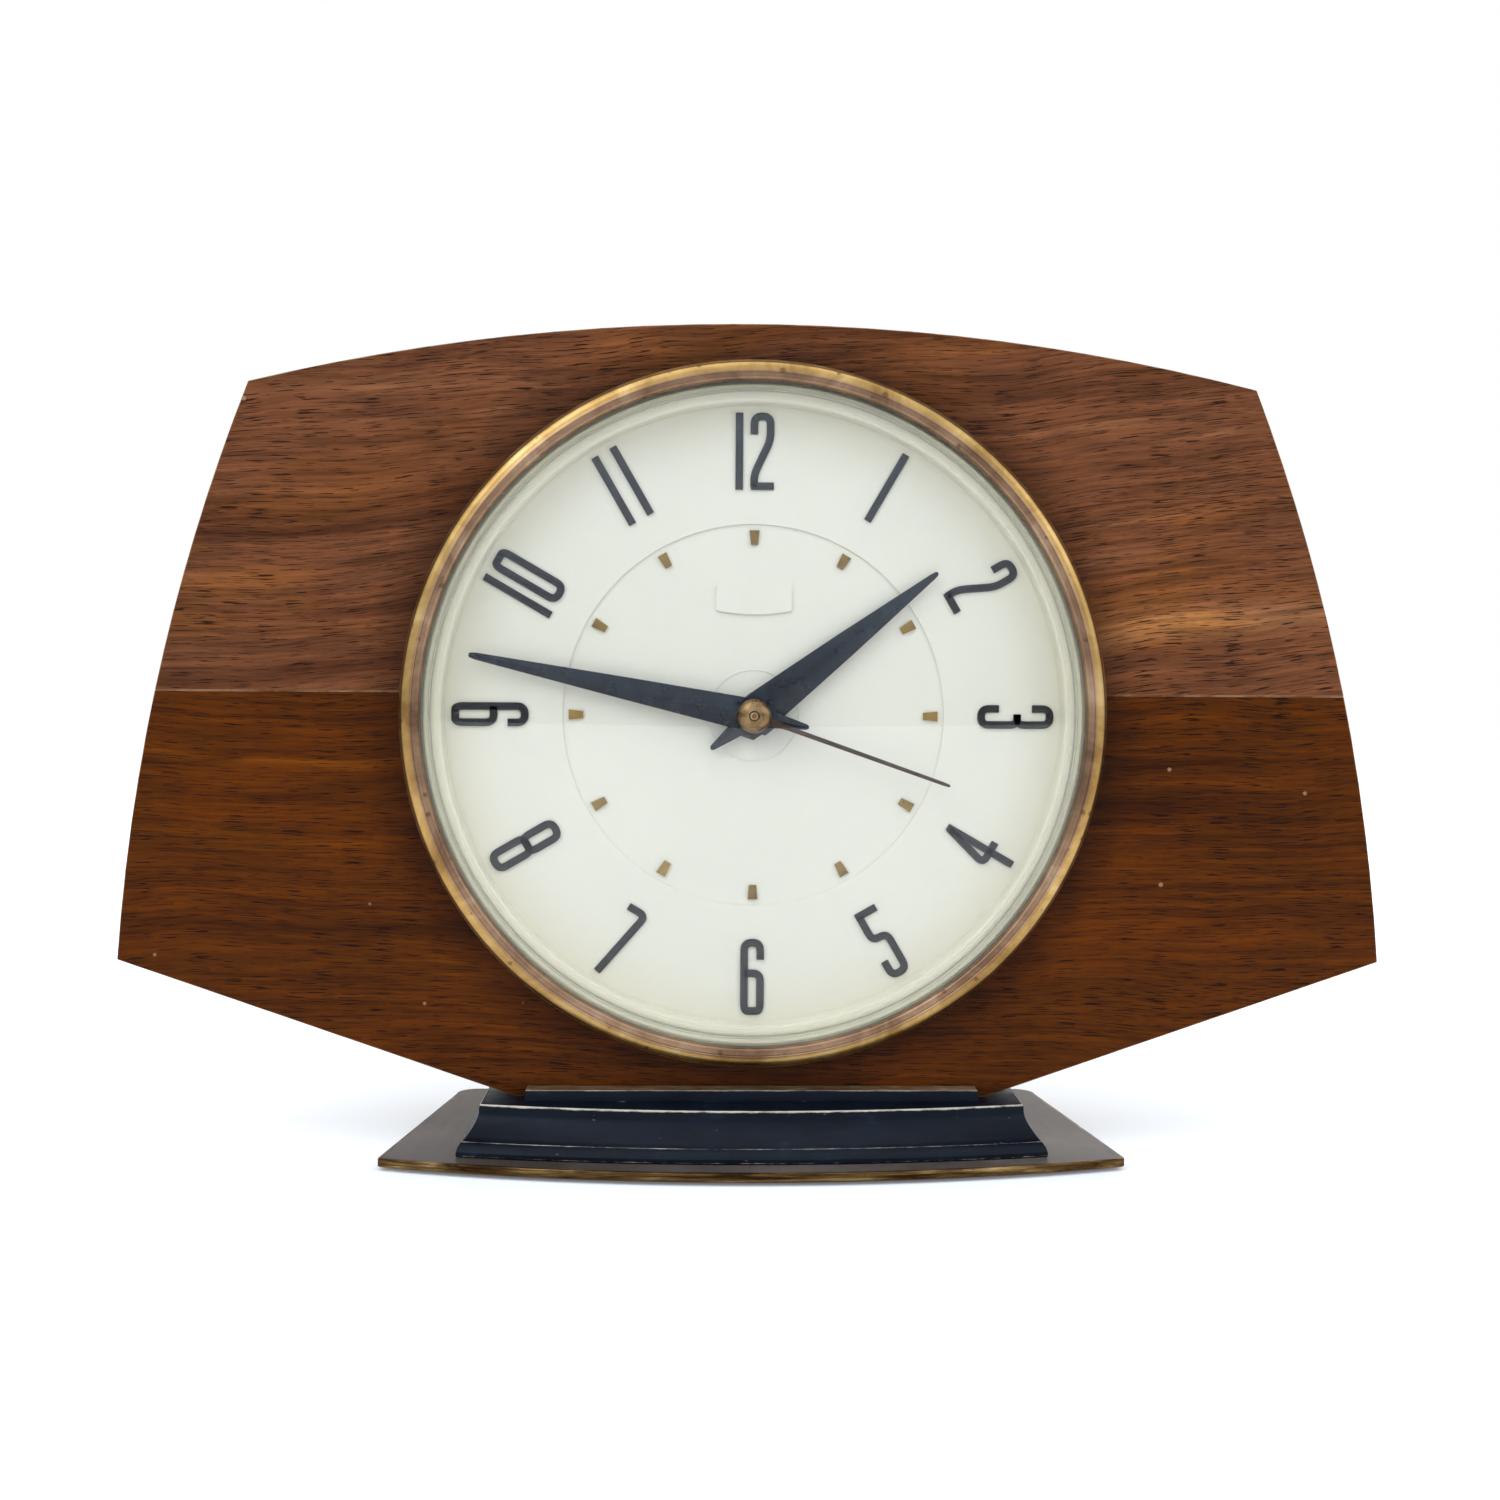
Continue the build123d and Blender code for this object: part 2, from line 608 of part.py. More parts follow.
with BuildPart() as dial:
    with BuildSketch(half_section()):
        with BuildLine():
            Line((BUSH_R + RUNNING, DIAL_BACK_Y), (DIAL_R, DIAL_BACK_Y))
            Line((DIAL_R, DIAL_BACK_Y), (DIAL_R, RIM_SHOULDER_Y))
            ThreePointArc(
                (DIAL_R, RIM_SHOULDER_Y),
                RIM_CREST,
                RIM_INNER,
            )
            Line(RIM_INNER, (DIAL_RIM_R, DIAL_FACE_Y))
            Line((DIAL_RIM_R, DIAL_FACE_Y), (DIAL_STEP_R, DIAL_FACE_Y))
            Line((DIAL_STEP_R, DIAL_FACE_Y), (DIAL_STEP_R, DIAL_FACE_Y + DIAL_STEP_T))
            Line(
                (DIAL_STEP_R, DIAL_FACE_Y + DIAL_STEP_T), (BUSH_R + RUNNING, DIAL_FACE_Y + DIAL_STEP_T)
            )
            Line((BUSH_R + RUNNING, DIAL_FACE_Y + DIAL_STEP_T), (BUSH_R + RUNNING, DIAL_BACK_Y))
        make_face()
    revolve(axis=DIAL_AXIS)
    # blank badge pad with a bowed lower edge
    with BuildSketch(facing(DIAL_FACE_Y + DIAL_STEP_T, (0, BADGE_RISE))):
        with BuildLine():
            Line((-BADGE_W / 2, BADGE_BOW - BADGE_H / 2), (-BADGE_W / 2, BADGE_H / 2))
            Line((-BADGE_W / 2, BADGE_H / 2), (BADGE_W / 2, BADGE_H / 2))
            Line((BADGE_W / 2, BADGE_H / 2), (BADGE_W / 2, BADGE_BOW - BADGE_H / 2))
            ThreePointArc(
                (BADGE_W / 2, BADGE_BOW - BADGE_H / 2),
                (0, -BADGE_H / 2),
                (-BADGE_W / 2, BADGE_BOW - BADGE_H / 2),
            )
        make_face()
    extrude(amount=RAISED)

MARKER_SEAT_Y = DIAL_FACE_Y + DIAL_STEP_T



def outward_plane(y, clockwise, reach):
    """A plane at depth y on a clock angle, its y direction pointing out to the rim."""
    at = polar(reach, 90.0 - clockwise)
    turn = math.radians(-clockwise)
    return Plane(
        origin=(at[0], y, DIAL_Z + at[1]),
        x_dir=(math.cos(turn), 0, math.sin(turn)),
        z_dir=(0, -1, 0),
    )


HOUR_STEP = 30.0

with BuildPart() as hour_markers:
    for hour in range(1, 13):
        with BuildSketch(outward_plane(MARKER_SEAT_Y, HOUR_STEP * hour, MARKER_R)):
            with BuildLine():
                Polyline(
                    (-MARKER_IN_W / 2, -MARKER_LONG / 2),
                    (MARKER_IN_W / 2, -MARKER_LONG / 2),
                    (MARKER_OUT_W / 2, MARKER_LONG / 2),
                    (-MARKER_OUT_W / 2, MARKER_LONG / 2),
                    close=True,
                )
            make_face()
        extrude(amount=RAISED)

# Each digit is one centre line in a box NUMERAL_W wide and as tall as the band of
# numerals, drawn with a round pen of the stroke's width: runs of points, straight
# between them, with the corners rounded.
DIGIT_H = NUMERAL_OUT - NUMERAL_IN
PEN = STROKE / 2
RIGHT = NUMERAL_W / 2 - PEN
LEFT = -RIGHT
TOP = DIGIT_H / 2 - PEN
LOW = -TOP
CORNER = 1.5
DIGITS = {
    "0": [[(0, TOP), (RIGHT, TOP), (RIGHT, LOW), (LEFT, LOW), (LEFT, TOP), (0, TOP)]],
    "1": [[(0, TOP), (0, LOW)]],
    "2": [[(LEFT, TOP - 3.6), (LEFT, TOP), (RIGHT, TOP), (RIGHT, TOP - 5.2), (LEFT, LOW), (RIGHT, LOW)]],
    "3": [
        [(LEFT, TOP - 3.6), (LEFT, TOP), (RIGHT, TOP), (RIGHT, 0.4), (-0.3, 0.4)],
        [(-0.3, 0.4), (RIGHT, 0.4), (RIGHT, LOW), (LEFT, LOW), (LEFT, LOW + 3.6)],
    ],
    "4": [[(0.4, LOW), (0.4, TOP), (LEFT - 0.5, -2.6), (RIGHT + 0.7, -2.6)]],
    "5": [
        [(RIGHT, TOP), (LEFT, TOP), (LEFT, 1.4), (RIGHT, 1.4), (RIGHT, LOW), (LEFT, LOW), (LEFT, LOW + 3.4)]
    ],
    "6": [
        [(RIGHT, TOP - 3.2), (RIGHT, TOP), (LEFT, TOP), (LEFT, LOW), (0, LOW)],
        [(0, LOW), (RIGHT, LOW), (RIGHT, 0.8), (LEFT, 0.8)],
    ],
    "7": [[(LEFT - 0.2, TOP), (RIGHT, TOP), (LEFT + 0.4, LOW)]],
    "8": [
        [(0, 0.4), (RIGHT, 0.4), (RIGHT, TOP), (LEFT, TOP), (LEFT, 0.4), (0, 0.4)],
        [(0, 0.4), (RIGHT, 0.4), (RIGHT, LOW), (LEFT, LOW), (LEFT, 0.4), (0, 0.4)],
    ],
    "9": [
        [(LEFT, LOW + 3.2), (LEFT, LOW), (RIGHT, LOW), (RIGHT, TOP), (0, TOP)],
        [(0, TOP), (LEFT, TOP), (LEFT, -0.8), (RIGHT, -0.8)],
    ],
}
# the tops of these numerals point at the rim; the others stand the other way up
TOPS_OUT = [9, 10, 11, 12, 1, 2, 3]
NUMERAL_MID = (NUMERAL_IN + NUMERAL_OUT) / 2
# sideways places of the two digits of a two-digit hour
FIRST_SHIFT = {"10": -3.5, "11": -2.3, "12": -3.5}
SECOND_SHIFT = {"10": 1.6, "11": 2.3, "12": 1.6}


LONGEST_CUT = 0.48


def rounded_run(points):
    """A run of points with its corners cut by short chords that stand for the bends."""
    run = [points[0]]
    for before, corner, after in zip(points, points[1:], points[2:]):
        for other in (before, after):
            gap = math.hypot(other[0] - corner[0], other[1] - corner[1])
            cut = min(CORNER, LONGEST_CUT * gap)
            across = corner[0] + (other[0] - corner[0]) * cut / gap
            upwards = corner[1] + (other[1] - corner[1]) * cut / gap
            run.append((across, upwards))
    run.append(points[-1])
    return run


def draw_digit(digit, shift):
    """Bars along each run, with a round end or joint at every point."""
    for points in DIGITS[digit]:
        run = rounded_run(points)
        for start, end in zip(run, run[1:]):
            long = math.hypot(end[0] - start[0], end[1] - start[1])
            turn = math.degrees(math.atan2(end[1] - start[1], end[0] - start[0]))
            middle = ((start[0] + end[0]) / 2 + shift, (start[1] + end[1]) / 2)
            with Locations(Location((middle[0], middle[1], 0), (0, 0, turn))):
                Rectangle(long, STROKE)
        for point in run:
            with Locations((point[0] + shift, point[1])):
                Circle(PEN)


with BuildPart() as dial_numerals:
    for hour in range(1, 13):
        out = HOUR_STEP * hour
        if hour in TOPS_OUT:
            face = outward_plane(DIAL_FACE_Y, out, NUMERAL_MID)
        else:
            face = outward_plane(DIAL_FACE_Y, out + 180.0, -NUMERAL_MID)
        text = str(hour)
        with BuildSketch(face):
            if len(text) == 1:
                draw_digit(text, 0)
            else:
                draw_digit("1", FIRST_SHIFT[text])
                draw_digit(text[1], SECOND_SHIFT[text])
        extrude(amount=RAISED)

save(bezel.part, "bezel")
save(lens.part, "lens")
save(lens_gasket.part, "lens_gasket")
save(dial_pan.part, "dial_pan")
save(dial.part, "dial")
save(dial_numerals.part, "dial_numerals")
save(hour_markers.part, "hour_markers")

# ---- clamps that pull the pan against the back of the panel ----
with BuildPart() as clamp_brackets:
    for angle in CLAMP_ANGLES:
        turn = math.radians(angle)
        side = Plane(
            origin=(0, 0, DIAL_Z),
            x_dir=(math.cos(turn), 0, math.sin(turn)),
            z_dir=(-math.sin(turn), 0, math.cos(turn)),
        )
        with BuildSketch(side):
            with BuildLine():
                Polyline(
                    (CLAMP_SCREW_ORBIT - 4.0, PAN_BACK_Y),
                    (RISER_R, PAN_BACK_Y),
                    (RISER_R, PANEL_T),
                    (CLAMP_R, PANEL_T),
                    (CLAMP_R, PANEL_T + CLAMP_T),
                    (RISER_R - CLAMP_T, PANEL_T + CLAMP_T),
                    (RISER_R - CLAMP_T, PAN_BACK_Y + CLAMP_T),
                    (CLAMP_SCREW_ORBIT - 4.0, PAN_BACK_Y + CLAMP_T),
                    close=True,
                )
            make_face()
        extrude(amount=CLAMP_W / 2, both=True)
        with BuildSketch(facing(PAN_BACK_Y + CLAMP_T, polar(CLAMP_SCREW_ORBIT, angle))):
            Circle(CLAMP_SCREW_R)
        extrude(amount=CLAMP_T, mode=Mode.SUBTRACT)

with BuildPart() as clamp_screws:
    for angle in CLAMP_ANGLES:
        with BuildSketch(facing(PAN_BACK_Y + CLAMP_T, polar(CLAMP_SCREW_ORBIT, angle))):
            Circle(CLAMP_SCREW_R)
        extrude(amount=CLAMP_T + PAN_SHEET)
        with BuildSketch(facing(PAN_BACK_Y + CLAMP_T + SCREW_HEAD_T, polar(CLAMP_SCREW_ORBIT, angle))):
            Circle(SCREW_HEAD_R)
        extrude(amount=SCREW_HEAD_T)

save(clamp_brackets.part, "clamp_brackets")
save(clamp_screws.part, "clamp_screws")

# ---- movement frame ----
FRAME_MID = ((FRAME_LOW[0] + FRAME_HIGH[0]) / 2, (FRAME_LOW[1] + FRAME_HIGH[1]) / 2)
FRAME_W = FRAME_HIGH[0] - FRAME_LOW[0]
FRAME_H = FRAME_HIGH[1] - FRAME_LOW[1]
PILLARS = [
    (FRAME_LOW[0] + PILLAR_INSET, FRAME_LOW[1] + PILLAR_INSET),
    (FRAME_HIGH[0] - PILLAR_INSET, FRAME_LOW[1] + PILLAR_INSET),
    (FRAME_HIGH[0] - PILLAR_INSET, FRAME_HIGH[1] - PILLAR_INSET),
    (FRAME_LOW[0] + PILLAR_INSET, FRAME_HIGH[1] - PILLAR_INSET),
]
PILLAR_SCREW_R = 1.0
POST_SCREW_R = 1.2
POST_SCREW_LONG = 5.0


def frame_plate(y, holes):
    """A rounded plate of the movement with its front face at y, drilled where named."""
    with BuildPart() as plate:
        with BuildSketch(facing(y + FRAME_PLATE_T)):
            with Locations(FRAME_MID):
                RectangleRounded(FRAME_W, FRAME_H, 3.0)
            for at, radius in holes:
                with Locations(at):
                    Circle(radius, mode=Mode.SUBTRACT)
        extrude(amount=FRAME_PLATE_T)
    return plate.part


def rods(spans):
    """Round rods: each is a point, a radius, a front depth and a back depth."""
    with BuildPart() as group:
        for at, radius, front, back in spans:
            with BuildSketch(facing(back, at)):
                Circle(radius)
            extrude(amount=back - front)
    return group.part


LEVER_STUD_R = 0.7
SPRING_STUD_R = 0.6
SPRING_OUT_R = 5.3
SPRING_STUD_AT = polar(SPRING_OUT_R + SPRING_STUD_R + 0.02, 0.0, BALANCE_AT)
BOARD_POSTS = [
    (BOARD_AT[0] - BOARD_W / 2 + 2.5, BOARD_AT[1]),
    (BOARD_AT[0] + BOARD_W / 2 - 2.5, BOARD_AT[1]),
]
BOARD_Y = (32.0, 33.2)
BOARD_POST_R = 1.5

front_holes = [
    ((0, 0), TUBE_R + RUNNING),
    (THIRD_AT, THIRD_ARBOR_R + RUNNING),
    (STUD_AT, MOTION_STUD_R),
    (SET_AT, SET_SHAFT_R + RUNNING),
    (BALANCE_AT, STAFF_R + RUNNING),
]
back_holes = [
    ((0, 0), SECONDS_ARBOR_R + RUNNING),
    (THIRD_AT, THIRD_ARBOR_R + RUNNING),
    (SET_AT, SET_SHAFT_R + RUNNING),
    (BALANCE_AT, STAFF_R + RUNNING),
    (LEVER_AT, LEVER_STUD_R),
    (SPRING_STUD_AT, SPRING_STUD_R),
]
for at in POSTS:
    front_holes.append((at, POST_SCREW_R))
for at in PILLARS:
    front_holes.append((at, PILLAR_SCREW_R))
    back_holes.append((at, PILLAR_SCREW_R))

save(frame_plate(FRONT_PLATE_Y, front_holes), "front_plate")
save(frame_plate(BACK_PLATE_Y, back_holes), "back_plate")

with BuildPart() as pillars:
    for at in PILLARS:
        with BuildSketch(facing(BACK_PLATE_Y, at)):
            Circle(PILLAR_R)
        extrude(amount=BACK_PLATE_Y - FRONT_PLATE_END)
        with BuildSketch(facing(FRONT_PLATE_END, at)):
            Circle(PILLAR_SCREW_R)
        extrude(amount=FRAME_PLATE_T)
        with BuildSketch(facing(BACK_PLATE_Y, at)):
            Circle(PILLAR_SCREW_R)
        extrude(amount=4.0, mode=Mode.SUBTRACT)

PILLAR_SCREW_LONG = 3.6
PILLAR_HEAD_R = 1.8
POST_HEAD_R = 2.2
SMALL_HEAD_T = 1.2
pillar_screws = rods(
    [(at, PILLAR_SCREW_R, BACK_PLATE_Y - PILLAR_SCREW_LONG, BACK_PLATE_END) for at in PILLARS]
    + [(at, PILLAR_HEAD_R, BACK_PLATE_END, BACK_PLATE_END + SMALL_HEAD_T) for at in PILLARS]
)

with BuildPart() as mounting_posts:
    for at in POSTS:
        with BuildSketch(facing(FRONT_PLATE_Y, at)):
            Circle(POST_R)
        extrude(amount=FRONT_PLATE_Y - PAN_BACK_Y)
        with BuildSketch(facing(FRONT_PLATE_Y, at)):
            Circle(POST_SCREW_R)
        extrude(amount=POST_SCREW_LONG, mode=Mode.SUBTRACT)

mounting_screws = rods(
    [(at, POST_SCREW_R, FRONT_PLATE_Y - POST_SCREW_LONG + 0.5, FRONT_PLATE_END) for at in POSTS]
    + [(at, POST_HEAD_R, FRONT_PLATE_END, FRONT_PLATE_END + SMALL_HEAD_T) for at in POSTS]
)

with BuildPart() as centre_bush:
    with BuildSketch(facing(PAN_BACK_Y + BUSH_FLANGE_T)):
        Circle(BUSH_FLANGE_R)
    extrude(amount=BUSH_FLANGE_T)
    with BuildSketch(facing(PAN_BACK_Y)):
        Circle(BUSH_R)
    extrude(amount=PAN_BACK_Y - BUSH_NOSE_Y)
    with BuildSketch(facing(PAN_BACK_Y + BUSH_FLANGE_T)):
        Circle(PIPE_R + RUNNING)
    extrude(amount=PAN_BACK_Y + BUSH_FLANGE_T - BUSH_NOSE_Y, mode=Mode.SUBTRACT)

save(pillars.part, "frame_pillars")
save(pillar_screws, "pillar_screws")
save(mounting_posts.part, "mounting_posts")
save(mounting_screws, "mounting_screws")
save(centre_bush.part, "centre_bush")
MOTION_STUD_FRONT_Y = 6.0
LEVER_STUD_FRONT_Y = 24.4
SPRING_STUD_FRONT_Y = 26.3
save(rods([(STUD_AT, MOTION_STUD_R, MOTION_STUD_FRONT_Y, FRONT_PLATE_END)]), "motion_stud")
save(rods([(LEVER_AT, LEVER_STUD_R, LEVER_STUD_FRONT_Y, BACK_PLATE_END)]), "lever_stud")
save(rods([(SPRING_STUD_AT, SPRING_STUD_R, SPRING_STUD_FRONT_Y, BACK_PLATE_END)]), "spring_stud")

# ---- wheels ----
CANNON_TURN = 0.0
MOTION_TURN = meshed_turn(CANNON_TURN, CANNON_TEETH, MOTION_TEETH, STUD_DIRECTION)
SET_TURN = meshed_turn(MOTION_TURN, MOTION_TEETH, CANNON_TEETH, SET_DIRECTION)
HOUR_TURN = meshed_turn(0.0, MOTION_PINION, HOUR_TEETH, STUD_DIRECTION - 180.0)
THIRD_PINION_TURN = meshed_turn(0.0, CENTRE_TEETH, TRAIN_PINION, THIRD_DIRECTION)
SECONDS_TURN = meshed_turn(0.0, THIRD_TEETH, TRAIN_PINION, THIRD_DIRECTION - 180.0)


def wheel(at, depth, outline, bore, windows):
    """A toothed wheel: outline points, a bore, and round windows that lighten it."""
    with BuildPart() as gear:
        with BuildSketch(facing(depth[1], at)):
            with BuildLine():
                Polyline(*outline, close=True)
            make_face()
            if windows:
                count, orbit, radius = windows
                with PolarLocations(orbit, count):
                    Circle(radius, mode=Mode.SUBTRACT)
            if bore:
                Circle(bore, mode=Mode.SUBTRACT)
        extrude(amount=depth[1] - depth[0])
    return gear.part


centre_rim = gear_outline(CENTRE_TEETH, CENTRE_MODULE, -SHIFT_TRAIN, 0.0)
third_rim = gear_outline(THIRD_TEETH, THIRD_MODULE, -SHIFT_TRAIN, 0.0)
third_leaves = gear_outline(TRAIN_PINION, CENTRE_MODULE, SHIFT_TRAIN, THIRD_PINION_TURN)
seconds_leaves = gear_outline(TRAIN_PINION, THIRD_MODULE, SHIFT_TRAIN, SECONDS_TURN)
cannon_leaves = gear_outline(CANNON_TEETH, MOTION_MODULE, SHIFT_MOTION, CANNON_TURN)
motion_rim = gear_outline(MOTION_TEETH, MOTION_MODULE, -SHIFT_MOTION, MOTION_TURN)
motion_leaves = gear_outline(MOTION_PINION, HOUR_MODULE, SHIFT_HOUR, 0.0)
hour_rim = gear_outline(HOUR_TEETH, HOUR_MODULE, -SHIFT_HOUR, HOUR_TURN)
set_leaves = gear_outline(CANNON_TEETH, MOTION_MODULE, SHIFT_MOTION, SET_TURN)

HOUR_HAND_Y = 0.6
MINUTE_HAND_Y = -0.7
WASHER_Y = -1.2
SECONDS_HAND_Y = -2.6
CANNON_Y = (9.4, 11.2)
TUBE_BACK_Y = 17.4
END_SHAKE = 0.3
PIVOT_OUT = 0.2
TRAIN_BACK_Y = BACK_PLATE_END + END_SHAKE
STEP_R = 1.0
THIRD_PINION_Y = (14.4, 16.6)
SECONDS_PINION_Y = (19.4, 21.6)
MOTION_PINION_Y = (6.6, 9.6)
MOTION_COLLAR_R = 1.8
MOTION_COLLAR_Y = (10.8, FRONT_PLATE_Y - PIVOT_OUT)
CAP_SEAT = 1.2
# wheel crossings: number of holes, their orbit and their radius
TRAIN_CROSSING = (5, 8.0, 3.2)
HOUR_CROSSING = (5, 6.3, 1.9)
INDEX_CROSSING = (5, 5.0, 1.9)

centre_wheel = wheel((0, 0), CENTRE_WHEEL_Y, centre_rim, TUBE_R, TRAIN_CROSSING)
third_wheel = wheel(THIRD_AT, THIRD_WHEEL_Y, third_rim, STEP_R, TRAIN_CROSSING)
cannon_pinion = wheel((0, 0), CANNON_Y, cannon_leaves, TUBE_R, None)

with BuildPart() as minute_tube:
    with BuildSketch(facing(TUBE_BACK_Y)):
        Circle(TUBE_R)
        Circle(SECONDS_ARBOR_R + RUNNING, mode=Mode.SUBTRACT)
    extrude(amount=TUBE_BACK_Y - WASHER_Y)

with BuildPart() as third_arbor:
    add(rods([(THIRD_AT, THIRD_ARBOR_R, FRONT_PLATE_Y - PIVOT_OUT, TRAIN_BACK_Y)]))
    add(rods([(THIRD_AT, STEP_R, FRONT_PLATE_END + END_SHAKE, BACK_PLATE_Y - END_SHAKE)]))
    add(wheel(THIRD_AT, THIRD_PINION_Y, third_leaves, None, None))

with BuildPart() as seconds_arbor:
    add(rods([((0, 0), SECONDS_ARBOR_R, SECONDS_HAND_Y - CAP_SEAT, TRAIN_BACK_Y)]))
    add(rods([((0, 0), STEP_R, TUBE_BACK_Y + END_SHAKE, BACK_PLATE_Y - END_SHAKE)]))
    add(wheel((0, 0), SECONDS_PINION_Y, seconds_leaves, None, None))

with BuildPart() as motion_wheel:
    add(wheel(STUD_AT, MOTION_WHEEL_Y, motion_rim, None, None))
    add(wheel(STUD_AT, MOTION_PINION_Y, motion_leaves, None, None))
    add(rods([(STUD_AT, MOTION_COLLAR_R, *MOTION_COLLAR_Y)]))
    with BuildSketch(facing(FRONT_PLATE_Y, STUD_AT)):
        Circle(MOTION_STUD_R + RUNNING)
    extrude(amount=FRONT_PLATE_Y - MOTION_STUD_FRONT_Y, mode=Mode.SUBTRACT)

with BuildPart() as hour_wheel:
    add(wheel((0, 0), HOUR_WHEEL_Y, hour_rim, None, HOUR_CROSSING))
    with BuildSketch(facing(HOUR_WHEEL_Y[1])):
        Circle(PIPE_R)
    extrude(amount=HOUR_WHEEL_Y[1] - HOUR_HAND_Y)
    with BuildSketch(facing(HOUR_WHEEL_Y[1])):
        Circle(TUBE_R + RUNNING)
    extrude(amount=HOUR_WHEEL_Y[1] - HOUR_HAND_Y, mode=Mode.SUBTRACT)

# one-way teeth of the wheel that the index lever steps round
INDEX_R = 9.0
INDEX_DEPTH = 0.7
INDEX_UNDERCUT = 0.12
index_points = []
for tooth in range(INDEX_TEETH):
    pitch = 360.0 / INDEX_TEETH
    index_points.append(polar(INDEX_R, pitch * tooth))
    index_points.append(polar(INDEX_R - INDEX_DEPTH, pitch * (tooth + INDEX_UNDERCUT)))
index_wheel = wheel((0, 0), INDEX_WHEEL_Y, index_points, STEP_R, INDEX_CROSSING)

save(centre_wheel, "centre_wheel")
save(third_wheel, "third_wheel")
save(cannon_pinion, "cannon_pinion")
save(minute_tube.part, "minute_tube")
save(third_arbor.part, "third_arbor")
save(seconds_arbor.part, "seconds_arbor")
save(motion_wheel.part, "motion_wheel")
save(hour_wheel.part, "hour_wheel")
save(index_wheel, "index_wheel")

# ---- hand setting ----
KNOB_GAP = 0.6
KNOB_WALL = 1.0
KNOB_Y = (COVER_BACK_Y + KNOB_GAP, COVER_BACK_Y + KNOB_GAP + KNOB_T)
KNOB_GROOVES = 24
GROOVE_R = 0.8
GROOVE_OUT = 0.35
SET_SHAFT_Y = (8.6, KNOB_Y[1] - KNOB_WALL)
SET_PINION_Y = (9.2, 11.2)

with BuildPart() as set_shaft:
    add(rods([(SET_AT, SET_SHAFT_R, *SET_SHAFT_Y)]))
    add(wheel(SET_AT, SET_PINION_Y, set_leaves, None, None))

with BuildPart() as set_knob:
    with BuildSketch(facing(KNOB_Y[1], SET_AT)):
        Circle(KNOB_R)
        with PolarLocations(KNOB_R + GROOVE_OUT, KNOB_GROOVES):
            Circle(GROOVE_R, mode=Mode.SUBTRACT)
    extrude(amount=KNOB_T)
    with BuildSketch(facing(SET_SHAFT_Y[1], SET_AT)):
        Circle(SET_SHAFT_R)
    extrude(amount=KNOB_T, mode=Mode.SUBTRACT)

save(set_shaft.part, "set_shaft")
save(set_knob.part, "set_knob")


# ---- hands ----
def hand_plane(y, clockwise):
    """A plane at depth y whose x direction points along a hand at a clock angle."""
    turn = math.radians(90.0 - clockwise)
    return Plane(origin=(0, y, DIAL_Z), x_dir=(math.cos(turn), 0, math.sin(turn)), z_dir=(0, -1, 0))


SHOULDER_AT = -3.4
TAIL_AT = -5.0
TAIL_BLUNT = 0.6
MINUTE_TIP = 1.5
HOUR_TIP = 1.4
SECONDS_T = 0.4
SECONDS_BOSS_R = 2.0


def dagger_hand(y, clockwise, long, tail, width, tip, bore, hexagon):
    """A tapering blade, widest at the hub, with a narrow blunt tail behind shoulders."""
    half = [
        (long, tip / 4),
        (long - tip, tip / 2),
        (0, width / 2),
        (SHOULDER_AT, width / 2),
        (TAIL_AT, TAIL_W / 2),
        (TAIL_BLUNT - tail, TAIL_TIP_W / 2),
        (-tail, TAIL_TIP_W / 4),
    ]
    with BuildPart() as hand:
        with BuildSketch(hand_plane(y, clockwise)):
            with BuildLine():
                Polyline(*half, *[(x, -w) for x, w in reversed(half)], close=True)
            make_face()
            if hexagon:
                RegularPolygon(hexagon, 6, rotation=clockwise - 90.0)
            Circle(bore, mode=Mode.SUBTRACT)
        extrude(amount=HAND_T)
    return hand.part


minute_hand = dagger_hand(
    MINUTE_HAND_Y + HAND_T, MINUTE_ANGLE, MINUTE_LONG, MINUTE_TAIL, MINUTE_W, MINUTE_TIP, TUBE_R, None
)
hour_hand = dagger_hand(
    HOUR_HAND_Y + HAND_T, HOUR_ANGLE, HOUR_LONG, HOUR_TAIL, HOUR_W, HOUR_TIP, PIPE_R, HEX_R
)

with BuildPart() as hand_nut:
    with BuildSketch(facing(MINUTE_HAND_Y)):
        RegularPolygon(HEX_R, 6, rotation=30)
        Circle(TUBE_R, mode=Mode.SUBTRACT)
    extrude(amount=MINUTE_HAND_Y - WASHER_Y)

with BuildPart() as seconds_hand:
    with BuildSketch(hand_plane(SECONDS_HAND_Y + SECONDS_T, SECONDS_ANGLE)):
        with Locations((SECONDS_LONG / 2, 0)):
            SlotOverall(SECONDS_LONG, SECONDS_W)
        Circle(SECONDS_BOSS_R)
        Circle(SECONDS_ARBOR_R, mode=Mode.SUBTRACT)
    extrude(amount=SECONDS_T)

with BuildPart() as hand_cap:
    with BuildSketch(half_section()):
        with BuildLine():
            Line((0, SECONDS_HAND_Y - CAP_H), (0, SECONDS_HAND_Y - CAP_SEAT))
            Line((0, SECONDS_HAND_Y - CAP_SEAT), (SECONDS_ARBOR_R, SECONDS_HAND_Y - CAP_SEAT))
            Line((SECONDS_ARBOR_R, SECONDS_HAND_Y - CAP_SEAT), (SECONDS_ARBOR_R, SECONDS_HAND_Y))
            Line((SECONDS_ARBOR_R, SECONDS_HAND_Y), (CAP_R, SECONDS_HAND_Y))
            dome_arc(CAP_R, SECONDS_HAND_Y, SECONDS_HAND_Y - CAP_H)
        make_face()
    revolve(axis=DIAL_AXIS)

save(minute_hand, "minute_hand")
save(hour_hand, "hour_hand")
save(hand_nut.part, "hand_nut")
save(seconds_hand.part, "seconds_hand")
save(hand_cap.part, "hand_cap")

